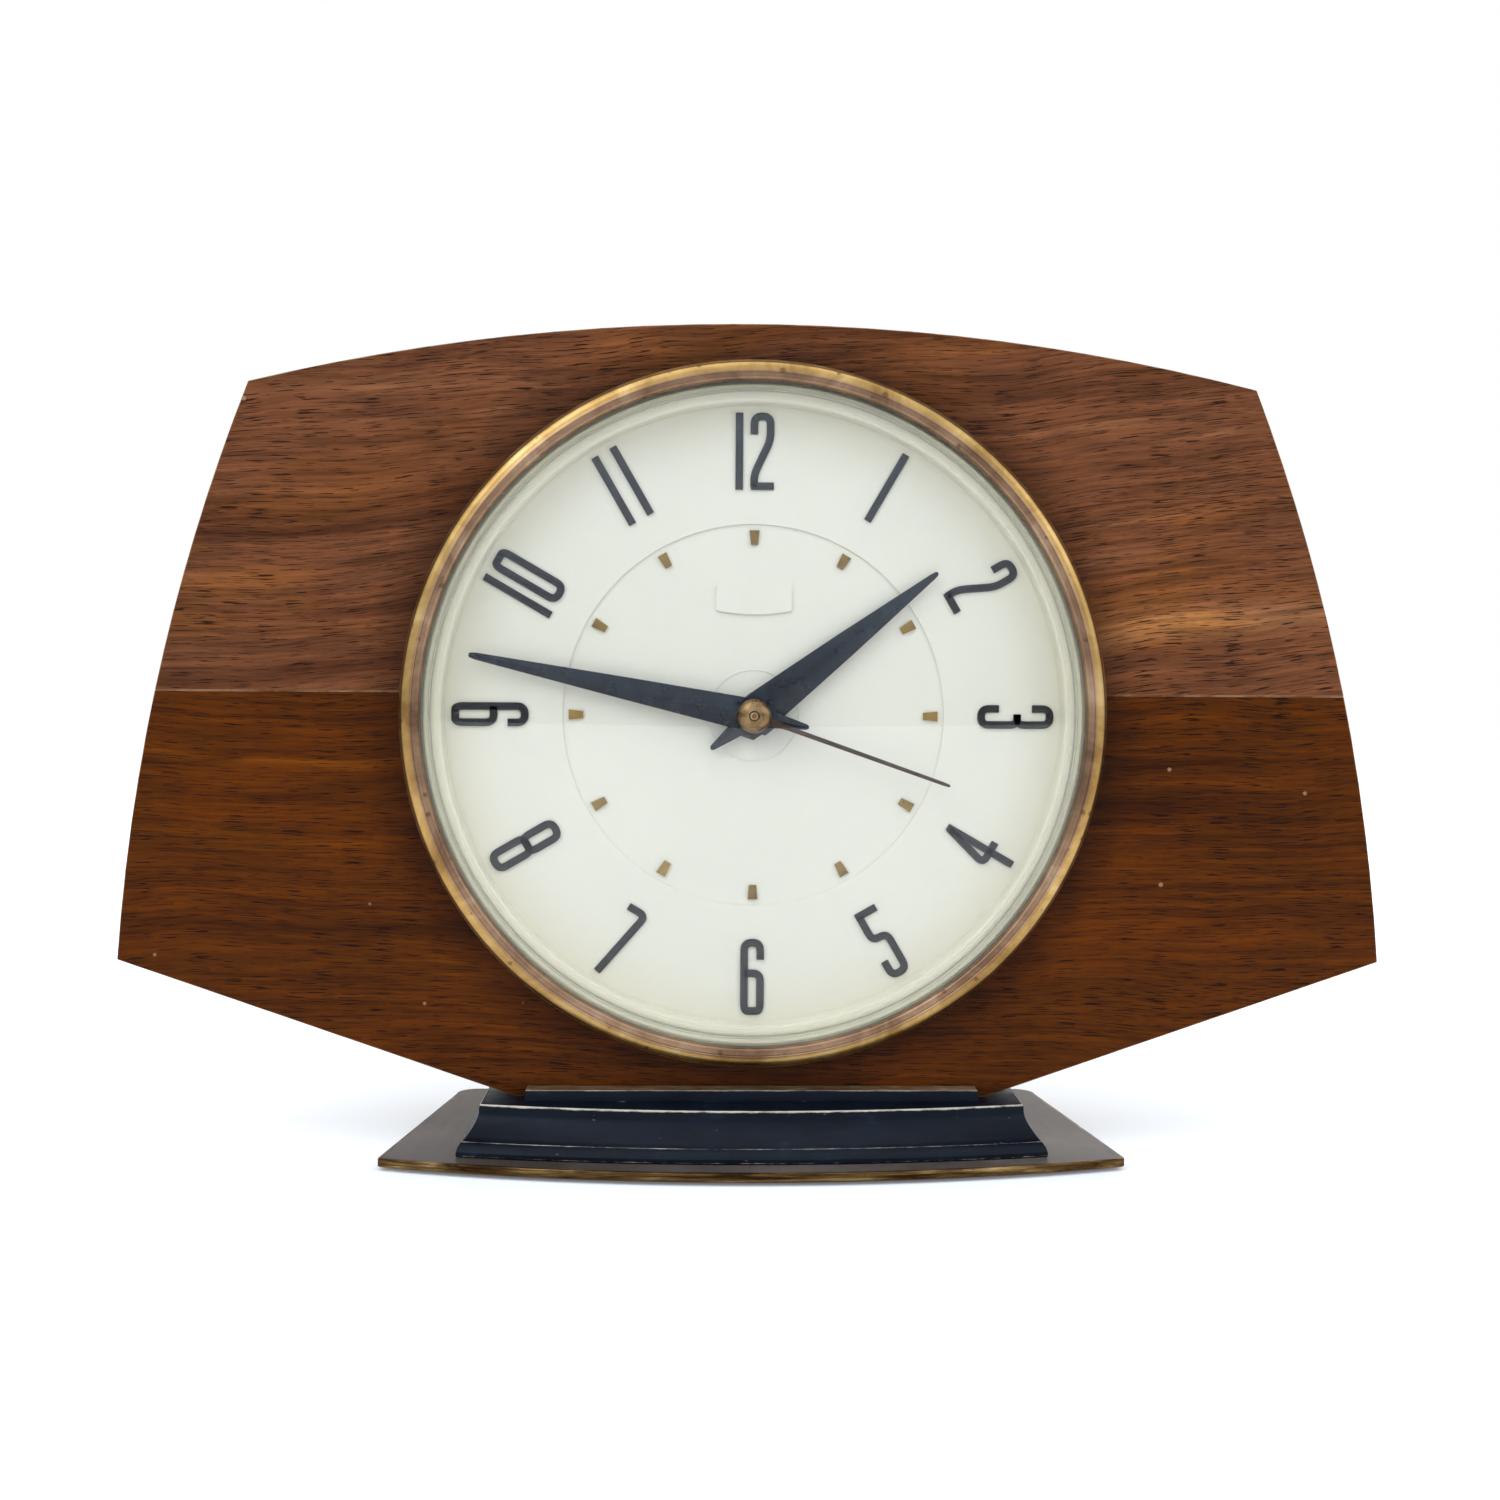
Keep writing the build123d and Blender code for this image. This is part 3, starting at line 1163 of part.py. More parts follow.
# ---- balance and index lever ----
MAGNET_R = 2.5
MAGNET_Y = (21.0, BALANCE_Y[0])
BALANCE_RIM_W = 1.8
BALANCE_SPOKE_W = 2.4
BALANCE_HUB_R = 2.2
MAGNET_ARM_W = 5.4
MAGNET_ARM_LONG = 2 * MAGNET_ORBIT + 4.0

with BuildPart() as balance_wheel:
    with BuildSketch(facing(BALANCE_Y[1], BALANCE_AT)):
        Circle(BALANCE_R)
        Circle(BALANCE_R - BALANCE_RIM_W, mode=Mode.SUBTRACT)
        Rectangle(2 * BALANCE_R - BALANCE_RIM_W, BALANCE_SPOKE_W)
        Circle(BALANCE_HUB_R)
        with Locations(Location((0, 0, 0), (0, 0, COIL_DIRECTION))):
            Rectangle(MAGNET_ARM_LONG, MAGNET_ARM_W)
        Circle(STAFF_R, mode=Mode.SUBTRACT)
    extrude(amount=BALANCE_Y[1] - BALANCE_Y[0])

balance_magnets = rods(
    [
        (polar(MAGNET_ORBIT, COIL_DIRECTION, BALANCE_AT), MAGNET_R, *MAGNET_Y),
        (polar(MAGNET_ORBIT, COIL_DIRECTION + 180.0, BALANCE_AT), MAGNET_R, *MAGNET_Y),
    ]
)

ROLLER_R = 1.8
LEVER_Y = (25.1, 25.9)
COLLET_Y = (26.0, 27.0)
SPRING_IN_R = 1.0
balance_staff = rods(
    [
        (BALANCE_AT, STAFF_R, FRONT_PLATE_Y - PIVOT_OUT, TRAIN_BACK_Y - PIVOT_OUT),
        (BALANCE_AT, ROLLER_R, *LEVER_Y),
        (BALANCE_AT, SPRING_IN_R, *COLLET_Y),
    ]
)

SPRING_TURNS = 4.0
SPRING_T = 0.12
SPRING_Y = (26.4, 26.9)
POINTS_PER_TURN = 12


def spiral(start_r, end_r):
    points = []
    steps = int(SPRING_TURNS * POINTS_PER_TURN)
    for step in range(steps + 1):
        share = step / steps
        points.append(polar(start_r + (end_r - start_r) * share, 360.0 * SPRING_TURNS * share))
    return points


with BuildPart() as hairspring:
    with BuildSketch(facing(SPRING_Y[1], BALANCE_AT)):
        with BuildLine():
            outer = Spline(*spiral(SPRING_IN_R + SPRING_T, SPRING_OUT_R))
            inner = Spline(*spiral(SPRING_IN_R, SPRING_OUT_R - SPRING_T))
            Line(outer @ 0, inner @ 0)
            Line(outer @ 1, inner @ 1)
        make_face()
    extrude(amount=SPRING_Y[1] - SPRING_Y[0])

LEVER_GAP = 0.9
LEVER_HUB_R = 1.8
FORK_W = 1.2
PAWL_W = 1.0
lever_reach = math.hypot(*LEVER_AT)
lever_to_staff = math.hypot(BALANCE_AT[0] - LEVER_AT[0], BALANCE_AT[1] - LEVER_AT[1])
fork_long = lever_to_staff - ROLLER_R - LEVER_GAP
pawl_long = lever_reach - INDEX_R - LEVER_GAP
fork_turn = math.degrees(math.atan2(BALANCE_AT[1] - LEVER_AT[1], BALANCE_AT[0] - LEVER_AT[0]))
pawl_turn = math.degrees(math.atan2(-LEVER_AT[1], -LEVER_AT[0]))

with BuildPart() as index_lever:
    with BuildSketch(facing(LEVER_Y[1], LEVER_AT)):
        Circle(LEVER_HUB_R)
        with Locations(Location((*polar(fork_long / 2, fork_turn), 0), (0, 0, fork_turn))):
            Rectangle(fork_long, FORK_W)
        with Locations(Location((*polar(pawl_long / 2, pawl_turn), 0), (0, 0, pawl_turn))):
            Rectangle(pawl_long, PAWL_W)
        Circle(LEVER_STUD_R + RUNNING, mode=Mode.SUBTRACT)
    extrude(amount=LEVER_Y[1] - LEVER_Y[0])

COIL_R = 4.2
COIL_CORE_R = 1.6
MAGNET_AIR = 0.5
COIL_Y = (FRONT_PLATE_END, MAGNET_Y[0] - MAGNET_AIR)
BOBBIN_FLANGE_T = 0.8
BOBBIN_FOOT_T = 1.0
WIRE_INSET = 0.2

with BuildPart() as coil_bobbin:
    with BuildSketch(facing(COIL_Y[1], COIL_AT)):
        Circle(COIL_CORE_R)
    extrude(amount=COIL_Y[1] - COIL_Y[0])
    with BuildSketch(facing(COIL_Y[1], COIL_AT)):
        Circle(COIL_R)
    extrude(amount=BOBBIN_FLANGE_T)
    with BuildSketch(facing(COIL_Y[0] + BOBBIN_FOOT_T, COIL_AT)):
        Circle(COIL_R)
    extrude(amount=BOBBIN_FOOT_T)

with BuildPart() as coil_winding:
    with BuildSketch(facing(COIL_Y[1] - BOBBIN_FLANGE_T, COIL_AT)):
        Circle(COIL_R - WIRE_INSET)
        Circle(COIL_CORE_R, mode=Mode.SUBTRACT)
    extrude(amount=COIL_Y[1] - COIL_Y[0] - BOBBIN_FLANGE_T - BOBBIN_FOOT_T)

save(balance_wheel.part, "balance_wheel")
save(balance_magnets, "balance_magnets")
save(balance_staff, "balance_staff")
save(hairspring.part, "hairspring")
save(index_lever.part, "index_lever")
save(coil_bobbin.part, "coil_bobbin")
save(coil_winding.part, "coil_winding")

# ---- regulator lever: turns about the balance axis, its tab reaches the back ----
REGULATOR_Y = (BACK_PLATE_END + 0.6, BACK_PLATE_END + 1.6)
REGULATOR_HUB_R = 2.6
REGULATOR_W = 2.6
TAB_R = 1.0
TAB_END_Y = COVER_BACK_Y + 2.6
TAB_AT = polar(REGULATOR_ARM, REGULATOR_DIRECTION, BALANCE_AT)
arm_middle = polar(REGULATOR_ARM / 2, REGULATOR_DIRECTION)

with BuildPart() as regulator_lever:
    with BuildSketch(facing(REGULATOR_Y[1], BALANCE_AT)):
        Circle(REGULATOR_HUB_R)
        with Locations(Location((*arm_middle, 0), (0, 0, REGULATOR_DIRECTION))):
            SlotCenterToCenter(REGULATOR_ARM, REGULATOR_W)
        Circle(STAFF_R + EASY, mode=Mode.SUBTRACT)
    extrude(amount=REGULATOR_Y[1] - REGULATOR_Y[0])
    with BuildSketch(facing(TAB_END_Y, TAB_AT)):
        Circle(TAB_R)
    extrude(amount=TAB_END_Y - REGULATOR_Y[0])

save(regulator_lever.part, "regulator_lever")

# ---- circuit board on the back plate ----
BOARD_CORNER_R = 1.0
# round components: offset on the board, radius and height
ROUND_COMPONENTS = [((-2.0, 5.0), 2.3, 4.5), ((5.0, -5.0), 3.0, 7.0)]
CHIP_OFFSET = (-4.0, -4.0)
CHIP_LONG = 6.0
CHIP_T = 2.0
CHIP_ROUND = 0.9

with BuildPart() as circuit_board:
    with BuildSketch(facing(BOARD_Y[1], BOARD_AT)):
        RectangleRounded(BOARD_W, BOARD_H, BOARD_CORNER_R)
    extrude(amount=BOARD_Y[1] - BOARD_Y[0])

board_posts = rods([(at, BOARD_POST_R, BACK_PLATE_END, BOARD_Y[0]) for at in BOARD_POSTS])

with BuildPart() as board_components:
    for (right, up), radius, tall in ROUND_COMPONENTS:
        at = (BOARD_AT[0] + right, BOARD_AT[1] + up)
        add(rods([(at, radius, BOARD_Y[1], BOARD_Y[1] + tall)]))
    with BuildSketch(facing(BOARD_Y[1] + CHIP_T, BOARD_AT)):
        with Locations(CHIP_OFFSET):
            RectangleRounded(CHIP_LONG, CHIP_T, CHIP_ROUND)
    extrude(amount=CHIP_T)

save(circuit_board.part, "circuit_board")
save(board_posts, "board_posts")
save(board_components.part, "board_components")

# ---- rear cover with the cell bay ----
BAY_HALF = CELL_LONG / 2 + BAY_END_GAP
BAY_TOP = -CELL_DROP + CELL_R + BAY_SIDE_GAP
BAY_LOW = -CELL_DROP - CELL_R - BAY_SIDE_GAP
BAY_FRONT_Y = CELL_Y - CELL_R - CELL_GAP
BAY_MID = (0, (BAY_TOP + BAY_LOW) / 2)
BAY_TALL = BAY_TOP - BAY_LOW
CONTACT_T = 0.4
TERMINAL_SLOT = (3.2, 0.6)
TERMINAL_Y = 24.0
SLOT_R = TAB_R + 0.6
SLOT_SPARE = 2.0
CONTACT_TALL = 9.0
CONTACT_HALF_DEEP = 6.0
TERMINAL_OUT = 3.0
TONGUE_TALL = 5.0
TONGUE_HALF_DEEP = 3.0

with BuildPart() as rear_cover:
    with BuildSketch(facing(COVER_BACK_Y)):
        Circle(COVER_R)
    extrude(amount=COVER_BACK_Y - PANEL_T)
    fillet(rear_cover.faces().sort_by(Axis.Y)[-1].edges(), COVER_EDGE_R)
    with BuildSketch(facing(COVER_BACK_Y - COVER_WALL)):
        Circle(COVER_R - COVER_WALL)
    extrude(amount=COVER_BACK_Y - COVER_WALL - PANEL_T, mode=Mode.SUBTRACT)
    for angle in EAR_ANGLES:
        with BuildSketch(facing(PANEL_T + EAR_T)):
            with Locations(polar(EAR_ORBIT, angle)):
                Circle(EAR_R)
            with Locations(Location((*polar(EAR_ORBIT - EAR_R, angle), 0), (0, 0, angle))):
                Rectangle(2 * EAR_R, 2 * EAR_R)
            Circle(COVER_R - COVER_WALL, mode=Mode.SUBTRACT)
        extrude(amount=EAR_T)
    # bay walls, then the bay itself, open at the back
    with BuildSketch(facing(COVER_BACK_Y - COVER_WALL / 2)):
        with Locations(BAY_MID):
            Rectangle(2 * (BAY_HALF + BAY_WALL), BAY_TALL + 2 * BAY_WALL)
    extrude(amount=COVER_BACK_Y - COVER_WALL / 2 - BAY_FRONT_Y + BAY_WALL)
    with BuildSketch(facing(COVER_BACK_Y)):
        with Locations(BAY_MID):
            Rectangle(2 * BAY_HALF, BAY_TALL)
    extrude(amount=COVER_BACK_Y - BAY_FRONT_Y, mode=Mode.SUBTRACT)
    with BuildSketch(facing(TERMINAL_Y + TERMINAL_SLOT[0] / 2, BAY_MID)):
        Rectangle(2 * (BAY_HALF + BAY_WALL), TERMINAL_SLOT[1])
    extrude(amount=TERMINAL_SLOT[0], mode=Mode.SUBTRACT)
    # hole for the setting shaft, slot for the regulator tab
    with BuildSketch(facing(COVER_BACK_Y, SET_AT)):
        Circle(SET_SHAFT_R + EASY)
    extrude(amount=COVER_WALL, mode=Mode.SUBTRACT)
    with BuildSketch(facing(COVER_BACK_Y, BALANCE_AT)):
        with BuildLine():
            tab_path = CenterArc(
                (0, 0),
                REGULATOR_ARM,
                REGULATOR_DIRECTION - REGULATOR_SWING - SLOT_SPARE,
                2 * (REGULATOR_SWING + SLOT_SPARE),
            )
        SlotArc(tab_path, 2 * SLOT_R)
    extrude(amount=COVER_WALL, mode=Mode.SUBTRACT)
    add(cover_screws.part, mode=Mode.SUBTRACT)


def contact(side):
    """A plate on the bay's end wall with a terminal that passes out through its slot."""
    inner = BAY_HALF - CONTACT_T
    with BuildPart() as strip:
        with BuildSketch(facing(CELL_Y + CONTACT_HALF_DEEP, BAY_MID)):
            with Locations((side * (inner + CONTACT_T / 2), 0)):
                Rectangle(CONTACT_T, CONTACT_TALL)
        extrude(amount=2 * CONTACT_HALF_DEEP)
        with BuildSketch(facing(TERMINAL_Y + TERMINAL_SLOT[0] / 2, BAY_MID)):
            with Locations((side * (BAY_HALF + (BAY_WALL + TERMINAL_OUT) / 2), 0)):
                Rectangle(BAY_WALL + TERMINAL_OUT, TERMINAL_SLOT[1])
        extrude(amount=TERMINAL_SLOT[0])
        # sprung tongue that presses on the end of the cell
        press = inner - CELL_LONG / 2 - CELL_GAP
        with BuildSketch(facing(CELL_Y + TONGUE_HALF_DEEP, BAY_MID)):
            with Locations((side * (inner - press / 2), 0)):
                Rectangle(press, TONGUE_TALL)
        extrude(amount=2 * TONGUE_HALF_DEEP)
    return strip.part


PIP_LONG = 1.5
PIP_R = 3.4
CELL_EDGE_R = 0.8

with BuildPart() as cell:
    across = Plane(origin=(-CELL_LONG / 2, CELL_Y, DIAL_Z - CELL_DROP), x_dir=(0, 1, 0), z_dir=(1, 0, 0))
    with BuildSketch(across):
        Circle(CELL_R)
    extrude(amount=CELL_LONG - PIP_LONG)
    fillet(cell.faces().sort_by(Axis.X)[-1].edges(), CELL_EDGE_R)
    with BuildSketch(across.offset(CELL_LONG - PIP_LONG)):
        Circle(PIP_R)
    extrude(amount=PIP_LONG)

save(rear_cover.part, "rear_cover")
save(contact(1), "contact_positive")
save(contact(-1), "contact_negative")
save(cell.part, "cell")
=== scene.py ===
import bpy
import math
from mathutils import Matrix, Vector


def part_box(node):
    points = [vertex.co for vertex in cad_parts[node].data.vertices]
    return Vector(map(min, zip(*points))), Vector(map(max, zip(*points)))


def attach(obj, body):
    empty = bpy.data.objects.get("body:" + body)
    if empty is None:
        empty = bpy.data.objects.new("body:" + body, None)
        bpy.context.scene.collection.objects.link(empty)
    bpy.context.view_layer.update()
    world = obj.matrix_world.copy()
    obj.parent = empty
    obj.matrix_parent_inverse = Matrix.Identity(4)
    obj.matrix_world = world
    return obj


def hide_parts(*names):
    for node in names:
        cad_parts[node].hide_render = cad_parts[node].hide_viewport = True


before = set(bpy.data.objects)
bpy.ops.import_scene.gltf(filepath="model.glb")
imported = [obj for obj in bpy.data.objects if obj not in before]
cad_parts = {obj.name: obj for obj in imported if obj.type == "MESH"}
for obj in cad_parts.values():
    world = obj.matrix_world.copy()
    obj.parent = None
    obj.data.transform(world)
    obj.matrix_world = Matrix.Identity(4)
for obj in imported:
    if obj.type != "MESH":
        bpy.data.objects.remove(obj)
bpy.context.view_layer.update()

# ---- places, in metres, read from the frame ----
MM = 0.001
dial_low, dial_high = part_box("dial")
DIAL_Z = (dial_low[2] + dial_high[2]) / 2
plate_low, plate_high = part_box("base_plate")
plinth_low, plinth_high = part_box("plinth")
bezel_low, bezel_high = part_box("bezel")
BEZEL_R = bezel_high[0]
PANEL_BACK_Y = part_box("panel_core")[1][1]
MERGE_GAP = 2e-6
NEARLY_FLAT = 0.6


# ---- making and shaping ----
def alone(piece):
    """Only this piece is selected and active."""
    bpy.ops.object.select_all(action="DESELECT")
    piece.select_set(True)
    bpy.context.view_layer.objects.active = piece


def into_edit(piece):
    alone(piece)
    bpy.ops.object.mode_set(mode="EDIT")
    bpy.ops.mesh.select_all(action="SELECT")


def out_of_edit():
    bpy.ops.object.mode_set(mode="OBJECT")


def apply_modifiers(piece):
    alone(piece)
    for modifier in list(piece.modifiers):
        bpy.ops.object.modifier_apply(modifier=modifier.name)


def smooth(piece, degrees=35):
    alone(piece)
    bpy.ops.object.shade_smooth_by_angle(angle=math.radians(degrees))


def even_normals(piece):
    """Keeps the shading of large flat faces flat right up to their rounded edges."""
    weighted = piece.modifiers.new("even_normals", "WEIGHTED_NORMAL")
    weighted.keep_sharp = True
    apply_modifiers(piece)


def rounded(piece, width, segments=2, degrees=30):
    """Rounds the sharp edges of a piece."""
    bevel = piece.modifiers.new("bevel", "BEVEL")
    bevel.width = width
    bevel.segments = segments
    bevel.limit_method = "ANGLE"
    bevel.angle_limit = math.radians(degrees)
    bevel.miter_outer = "MITER_ARC"
    apply_modifiers(piece)


def softened(node, width, segments=2, degrees=30):
    """A copy of a CAD node with its edges rounded, which stands for the node."""
    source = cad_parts[node]
    piece = bpy.data.objects.new(node + "_finished", source.data.copy())
    bpy.context.scene.collection.objects.link(piece)
    piece.data.materials.clear()
    into_edit(piece)
    bpy.ops.mesh.remove_doubles(threshold=MERGE_GAP)
    bpy.ops.mesh.dissolve_limited(angle_limit=math.radians(NEARLY_FLAT))
    out_of_edit()
    rounded(piece, width, segments, degrees)
    smooth(piece)
    even_normals(piece)
    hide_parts(node)
    return piece


def turned(name, profile, steps=192):
    """A body of revolution about the dial's axis from a closed section, radius and depth in mm."""
    bpy.ops.object.select_all(action="DESELECT")
    bpy.ops.mesh.primitive_circle_add(vertices=len(profile), radius=1, fill_type="NOTHING")
    piece = bpy.context.object
    piece.name = name
    for vertex, (radius, depth) in zip(piece.data.vertices, profile):
        vertex.co = (radius * MM, depth * MM, DIAL_Z)
    into_edit(piece)
    bpy.ops.mesh.spin(steps=steps, angle=2 * math.pi, center=(0, 0, DIAL_Z), axis=(0, 1, 0))
    bpy.ops.mesh.select_all(action="SELECT")
    bpy.ops.mesh.remove_doubles(threshold=1e-6)
    bpy.ops.mesh.normals_make_consistent(inside=False)
    out_of_edit()
    smooth(piece)
    return piece


def arc(centre, radius, start, end, count):
    """Points of an arc in mm, angles in degrees."""
    points = []
    for step in range(count + 1):
        turn = math.radians(start + (end - start) * step / count)
        points.append((centre[0] + radius * math.cos(turn), centre[1] + radius * math.sin(turn)))
    return points


def stacked(name, levels):
    """A body raised level by level: each level is a height and an outline in mm, and a weight for the pale
    edge colour, which is partly wear and partly painted highlight.
    """
    first = levels[0][1]
    bpy.ops.object.select_all(action="DESELECT")
    bpy.ops.mesh.primitive_circle_add(vertices=len(first), radius=1, fill_type="NGON")
    piece = bpy.context.object
    piece.name = name
    wear_and_highlight = {}

    def key(point):
        return tuple(round(value * 1e7) for value in point)

    def spot(level, index):
        x, y = level[1][index]
        return Vector((x * MM, y * MM, level[0] * MM))

    for index, vertex in enumerate(piece.data.vertices):
        vertex.co = spot(levels[0], index)
        wear_and_highlight[key(vertex.co)] = levels[0][2]
    for below, level in zip(levels, levels[1:]):
        into_edit(piece)
        bpy.ops.mesh.select_all(action="DESELECT")
        out_of_edit()
        top = max(range(len(piece.data.polygons)), key=lambda i: len(piece.data.polygons[i].vertices) * 10
                  + piece.data.polygons[i].index * 1e-4)
        piece.data.polygons[top].select = True
        bpy.ops.object.mode_set(mode="EDIT")
        bpy.ops.mesh.select_mode(type="FACE")
        bpy.ops.mesh.extrude_region_move()
        out_of_edit()
        raised = [v for v in piece.data.vertices if v.select]
        for vertex in raised:
            index = min(range(len(first)), key=lambda i: (vertex.co - spot(below, i)).length_squared)
            vertex.co = spot(level, index)
            wear_and_highlight[key(vertex.co)] = level[2]
    into_edit(piece)
    bpy.ops.mesh.normals_make_consistent(inside=False)
    out_of_edit()
    attribute = piece.data.attributes.new("wear_and_highlight", "FLOAT", "POINT")
    for index, vertex in enumerate(piece.data.vertices):
        attribute.data[index].value = wear_and_highlight.get(key(vertex.co), 0.0)
    smooth(piece, 28)
    return piece


def inset_outline(points, distance):
    """An outline moved inwards by a distance, each point along its own corner."""
    moved = []
    count = len(points)
    for index in range(count):
        before = Vector(points[index - 1])
        here = Vector(points[index])
        after = Vector(points[(index + 1) % count])
        first = (here - before).normalized()
        second = (after - here).normalized()
        inward = Vector((-first.y - second.y, first.x + second.x))
        if inward.length < 1e-9:
            inward = Vector((-first.y, first.x))
        inward.normalize()
        spread = max(0.35, inward.dot(Vector((-first.y, first.x))))
        moved.append(tuple(here + inward * distance / spread))
    return moved


def joined(pieces, name):
    bpy.ops.object.select_all(action="DESELECT")
    for piece in pieces:
        piece.select_set(True)
    bpy.context.view_layer.objects.active = pieces[0]
    bpy.ops.object.join()
    pieces[0].name = name
    return pieces[0]


def at_angle(clockwise):
    """The turn that takes a hand from three o'clock to its clockwise angle from twelve."""
    return Matrix.Rotation(math.radians(clockwise - 90), 4, "Y")


def blade(name, stations, depth, sheet, ridge, clockwise):
    """A creased hand: stations are the distance along it and the half width there, in mm."""
    bpy.ops.object.select_all(action="DESELECT")
    bpy.ops.mesh.primitive_grid_add(x_subdivisions=len(stations) - 1, y_subdivisions=2, size=2)
    piece = bpy.context.object
    piece.name = name
    widest = max(half for _, half in stations)
    for index, vertex in enumerate(piece.data.vertices):
        along, half = stations[index % len(stations)]
        side = index // len(stations) - 1
        rise = ridge * min(1.0, half / widest + 0.15) if side == 0 else 0.0
        vertex.co = (along * MM, (depth - rise) * MM, side * half * MM)
    into_edit(piece)
    bpy.ops.mesh.normals_make_consistent(inside=False)
    out_of_edit()
    if piece.data.polygons[0].normal.y > 0:
        piece.data.flip_normals()
    wall = piece.modifiers.new("wall", "SOLIDIFY")
    wall.thickness = sheet * MM
    wall.offset = -1
    apply_modifiers(piece)
    rounded(piece, 0.06 * MM, 2, 40)
    piece.data.transform(Matrix.Translation((0, 0, DIAL_Z)) @ at_angle(clockwise))
    smooth(piece, 20)
    return piece


# ---- material nodes ----
class Shade:
    """A material's node tree, with short calls for the nodes that a finish is made from."""

    def __init__(self, name, **constants):
        self.material = bpy.data.materials.new(name)
        self.material.use_nodes = True
        self.tree = self.material.node_tree
        self.shader = self.tree.nodes["Principled BSDF"]
        self.coords = self.tree.nodes.new("ShaderNodeTexCoord").outputs["Object"]
        for socket, value in constants.items():
            self.shader.inputs[socket.replace("_", " ")].default_value = value

    def link(self, source, target):
        self.tree.links.new(source, target)

    def mapped(self, scale=(1, 1, 1), turn=(0, 0, 0), place=(0, 0, 0), source=None):
        node = self.tree.nodes.new("ShaderNodeMapping")
        node.inputs["Scale"].default_value = scale
        node.inputs["Rotation"].default_value = [math.radians(value) for value in turn]
        node.inputs["Location"].default_value = place
        self.link(source or self.coords, node.inputs["Vector"])
        return node.outputs["Vector"]

    def noise(self, vector, scale=1.0, detail=3.0, rough=0.5, twist=0.0):
        node = self.tree.nodes.new("ShaderNodeTexNoise")
        node.inputs["Scale"].default_value = scale
        node.inputs["Detail"].default_value = detail
        node.inputs["Roughness"].default_value = rough
        node.inputs["Distortion"].default_value = twist
        self.link(vector, node.inputs["Vector"])
        return node.outputs["Fac"]

    def cells(self, vector):
        node = self.tree.nodes.new("ShaderNodeTexVoronoi")
        node.inputs["Scale"].default_value = 1.0
        self.link(vector, node.inputs["Vector"])
        return node.outputs["Distance"]

    def ramp(self, fac, stops):
        node = self.tree.nodes.new("ShaderNodeValToRGB")
        elements = node.color_ramp.elements
        while len(elements) < len(stops):
            elements.new(0.5)
        for element, (place, colour) in zip(elements, stops):
            element.position = place
            if isinstance(colour, (int, float)):
                colour = (colour, colour, colour)
            element.color = (*colour, 1)
        self.link(fac, node.inputs["Fac"])
        return node.outputs["Color"]

    def mix(self, fac, first, second, blend="MIX"):
        node = self.tree.nodes.new("ShaderNodeMix")
        node.data_type = "RGBA"
        node.blend_type = blend
        for value, socket in ((fac, node.inputs[0]), (first, node.inputs[6]), (second, node.inputs[7])):
            if isinstance(value, (int, float)):
                socket.default_value = value if socket == node.inputs[0] else (value, value, value, 1)
            elif isinstance(value, tuple):
                socket.default_value = (*value, 1)
            else:
                self.link(value, socket)
        return node.outputs[2]

    def sum(self, operation, first, second=0.0, third=0.0):
        node = self.tree.nodes.new("ShaderNodeMath")
        node.operation = operation
        for value, socket in zip((first, second, third), node.inputs):
            if isinstance(value, (int, float)):
                socket.default_value = value
            else:
                self.link(value, socket)
        return node.outputs[0]

    def attribute(self, name):
        node = self.tree.nodes.new("ShaderNodeAttribute")
        node.attribute_name = name
        return node.outputs["Fac"]

    def separate(self, vector=None):
        node = self.tree.nodes.new("ShaderNodeSeparateXYZ")
        self.link(vector or self.coords, node.inputs[0])
        return node.outputs

    def dial_radius(self):
        """Distance from the dial's axis, in mm."""
        parts = self.separate(self.mapped(place=(0, 0, -DIAL_Z)))
        squared = self.sum("MULTIPLY_ADD", parts[0], parts[0], self.sum("MULTIPLY", parts[2], parts[2]))
        return self.sum("MULTIPLY", self.sum("SQRT", squared), 1000.0)

    def bump(self, height, strength, distance):
        node = self.tree.nodes.new("ShaderNodeBump")
        node.inputs["Strength"].default_value = strength
        node.inputs["Distance"].default_value = distance
        self.link(height, node.inputs["Height"])
        return node.outputs["Normal"]

    def set(self, **sources):
        for socket, source in sources.items():
            self.link(source, self.shader.inputs[socket.replace("_", " ")])
        return self.material


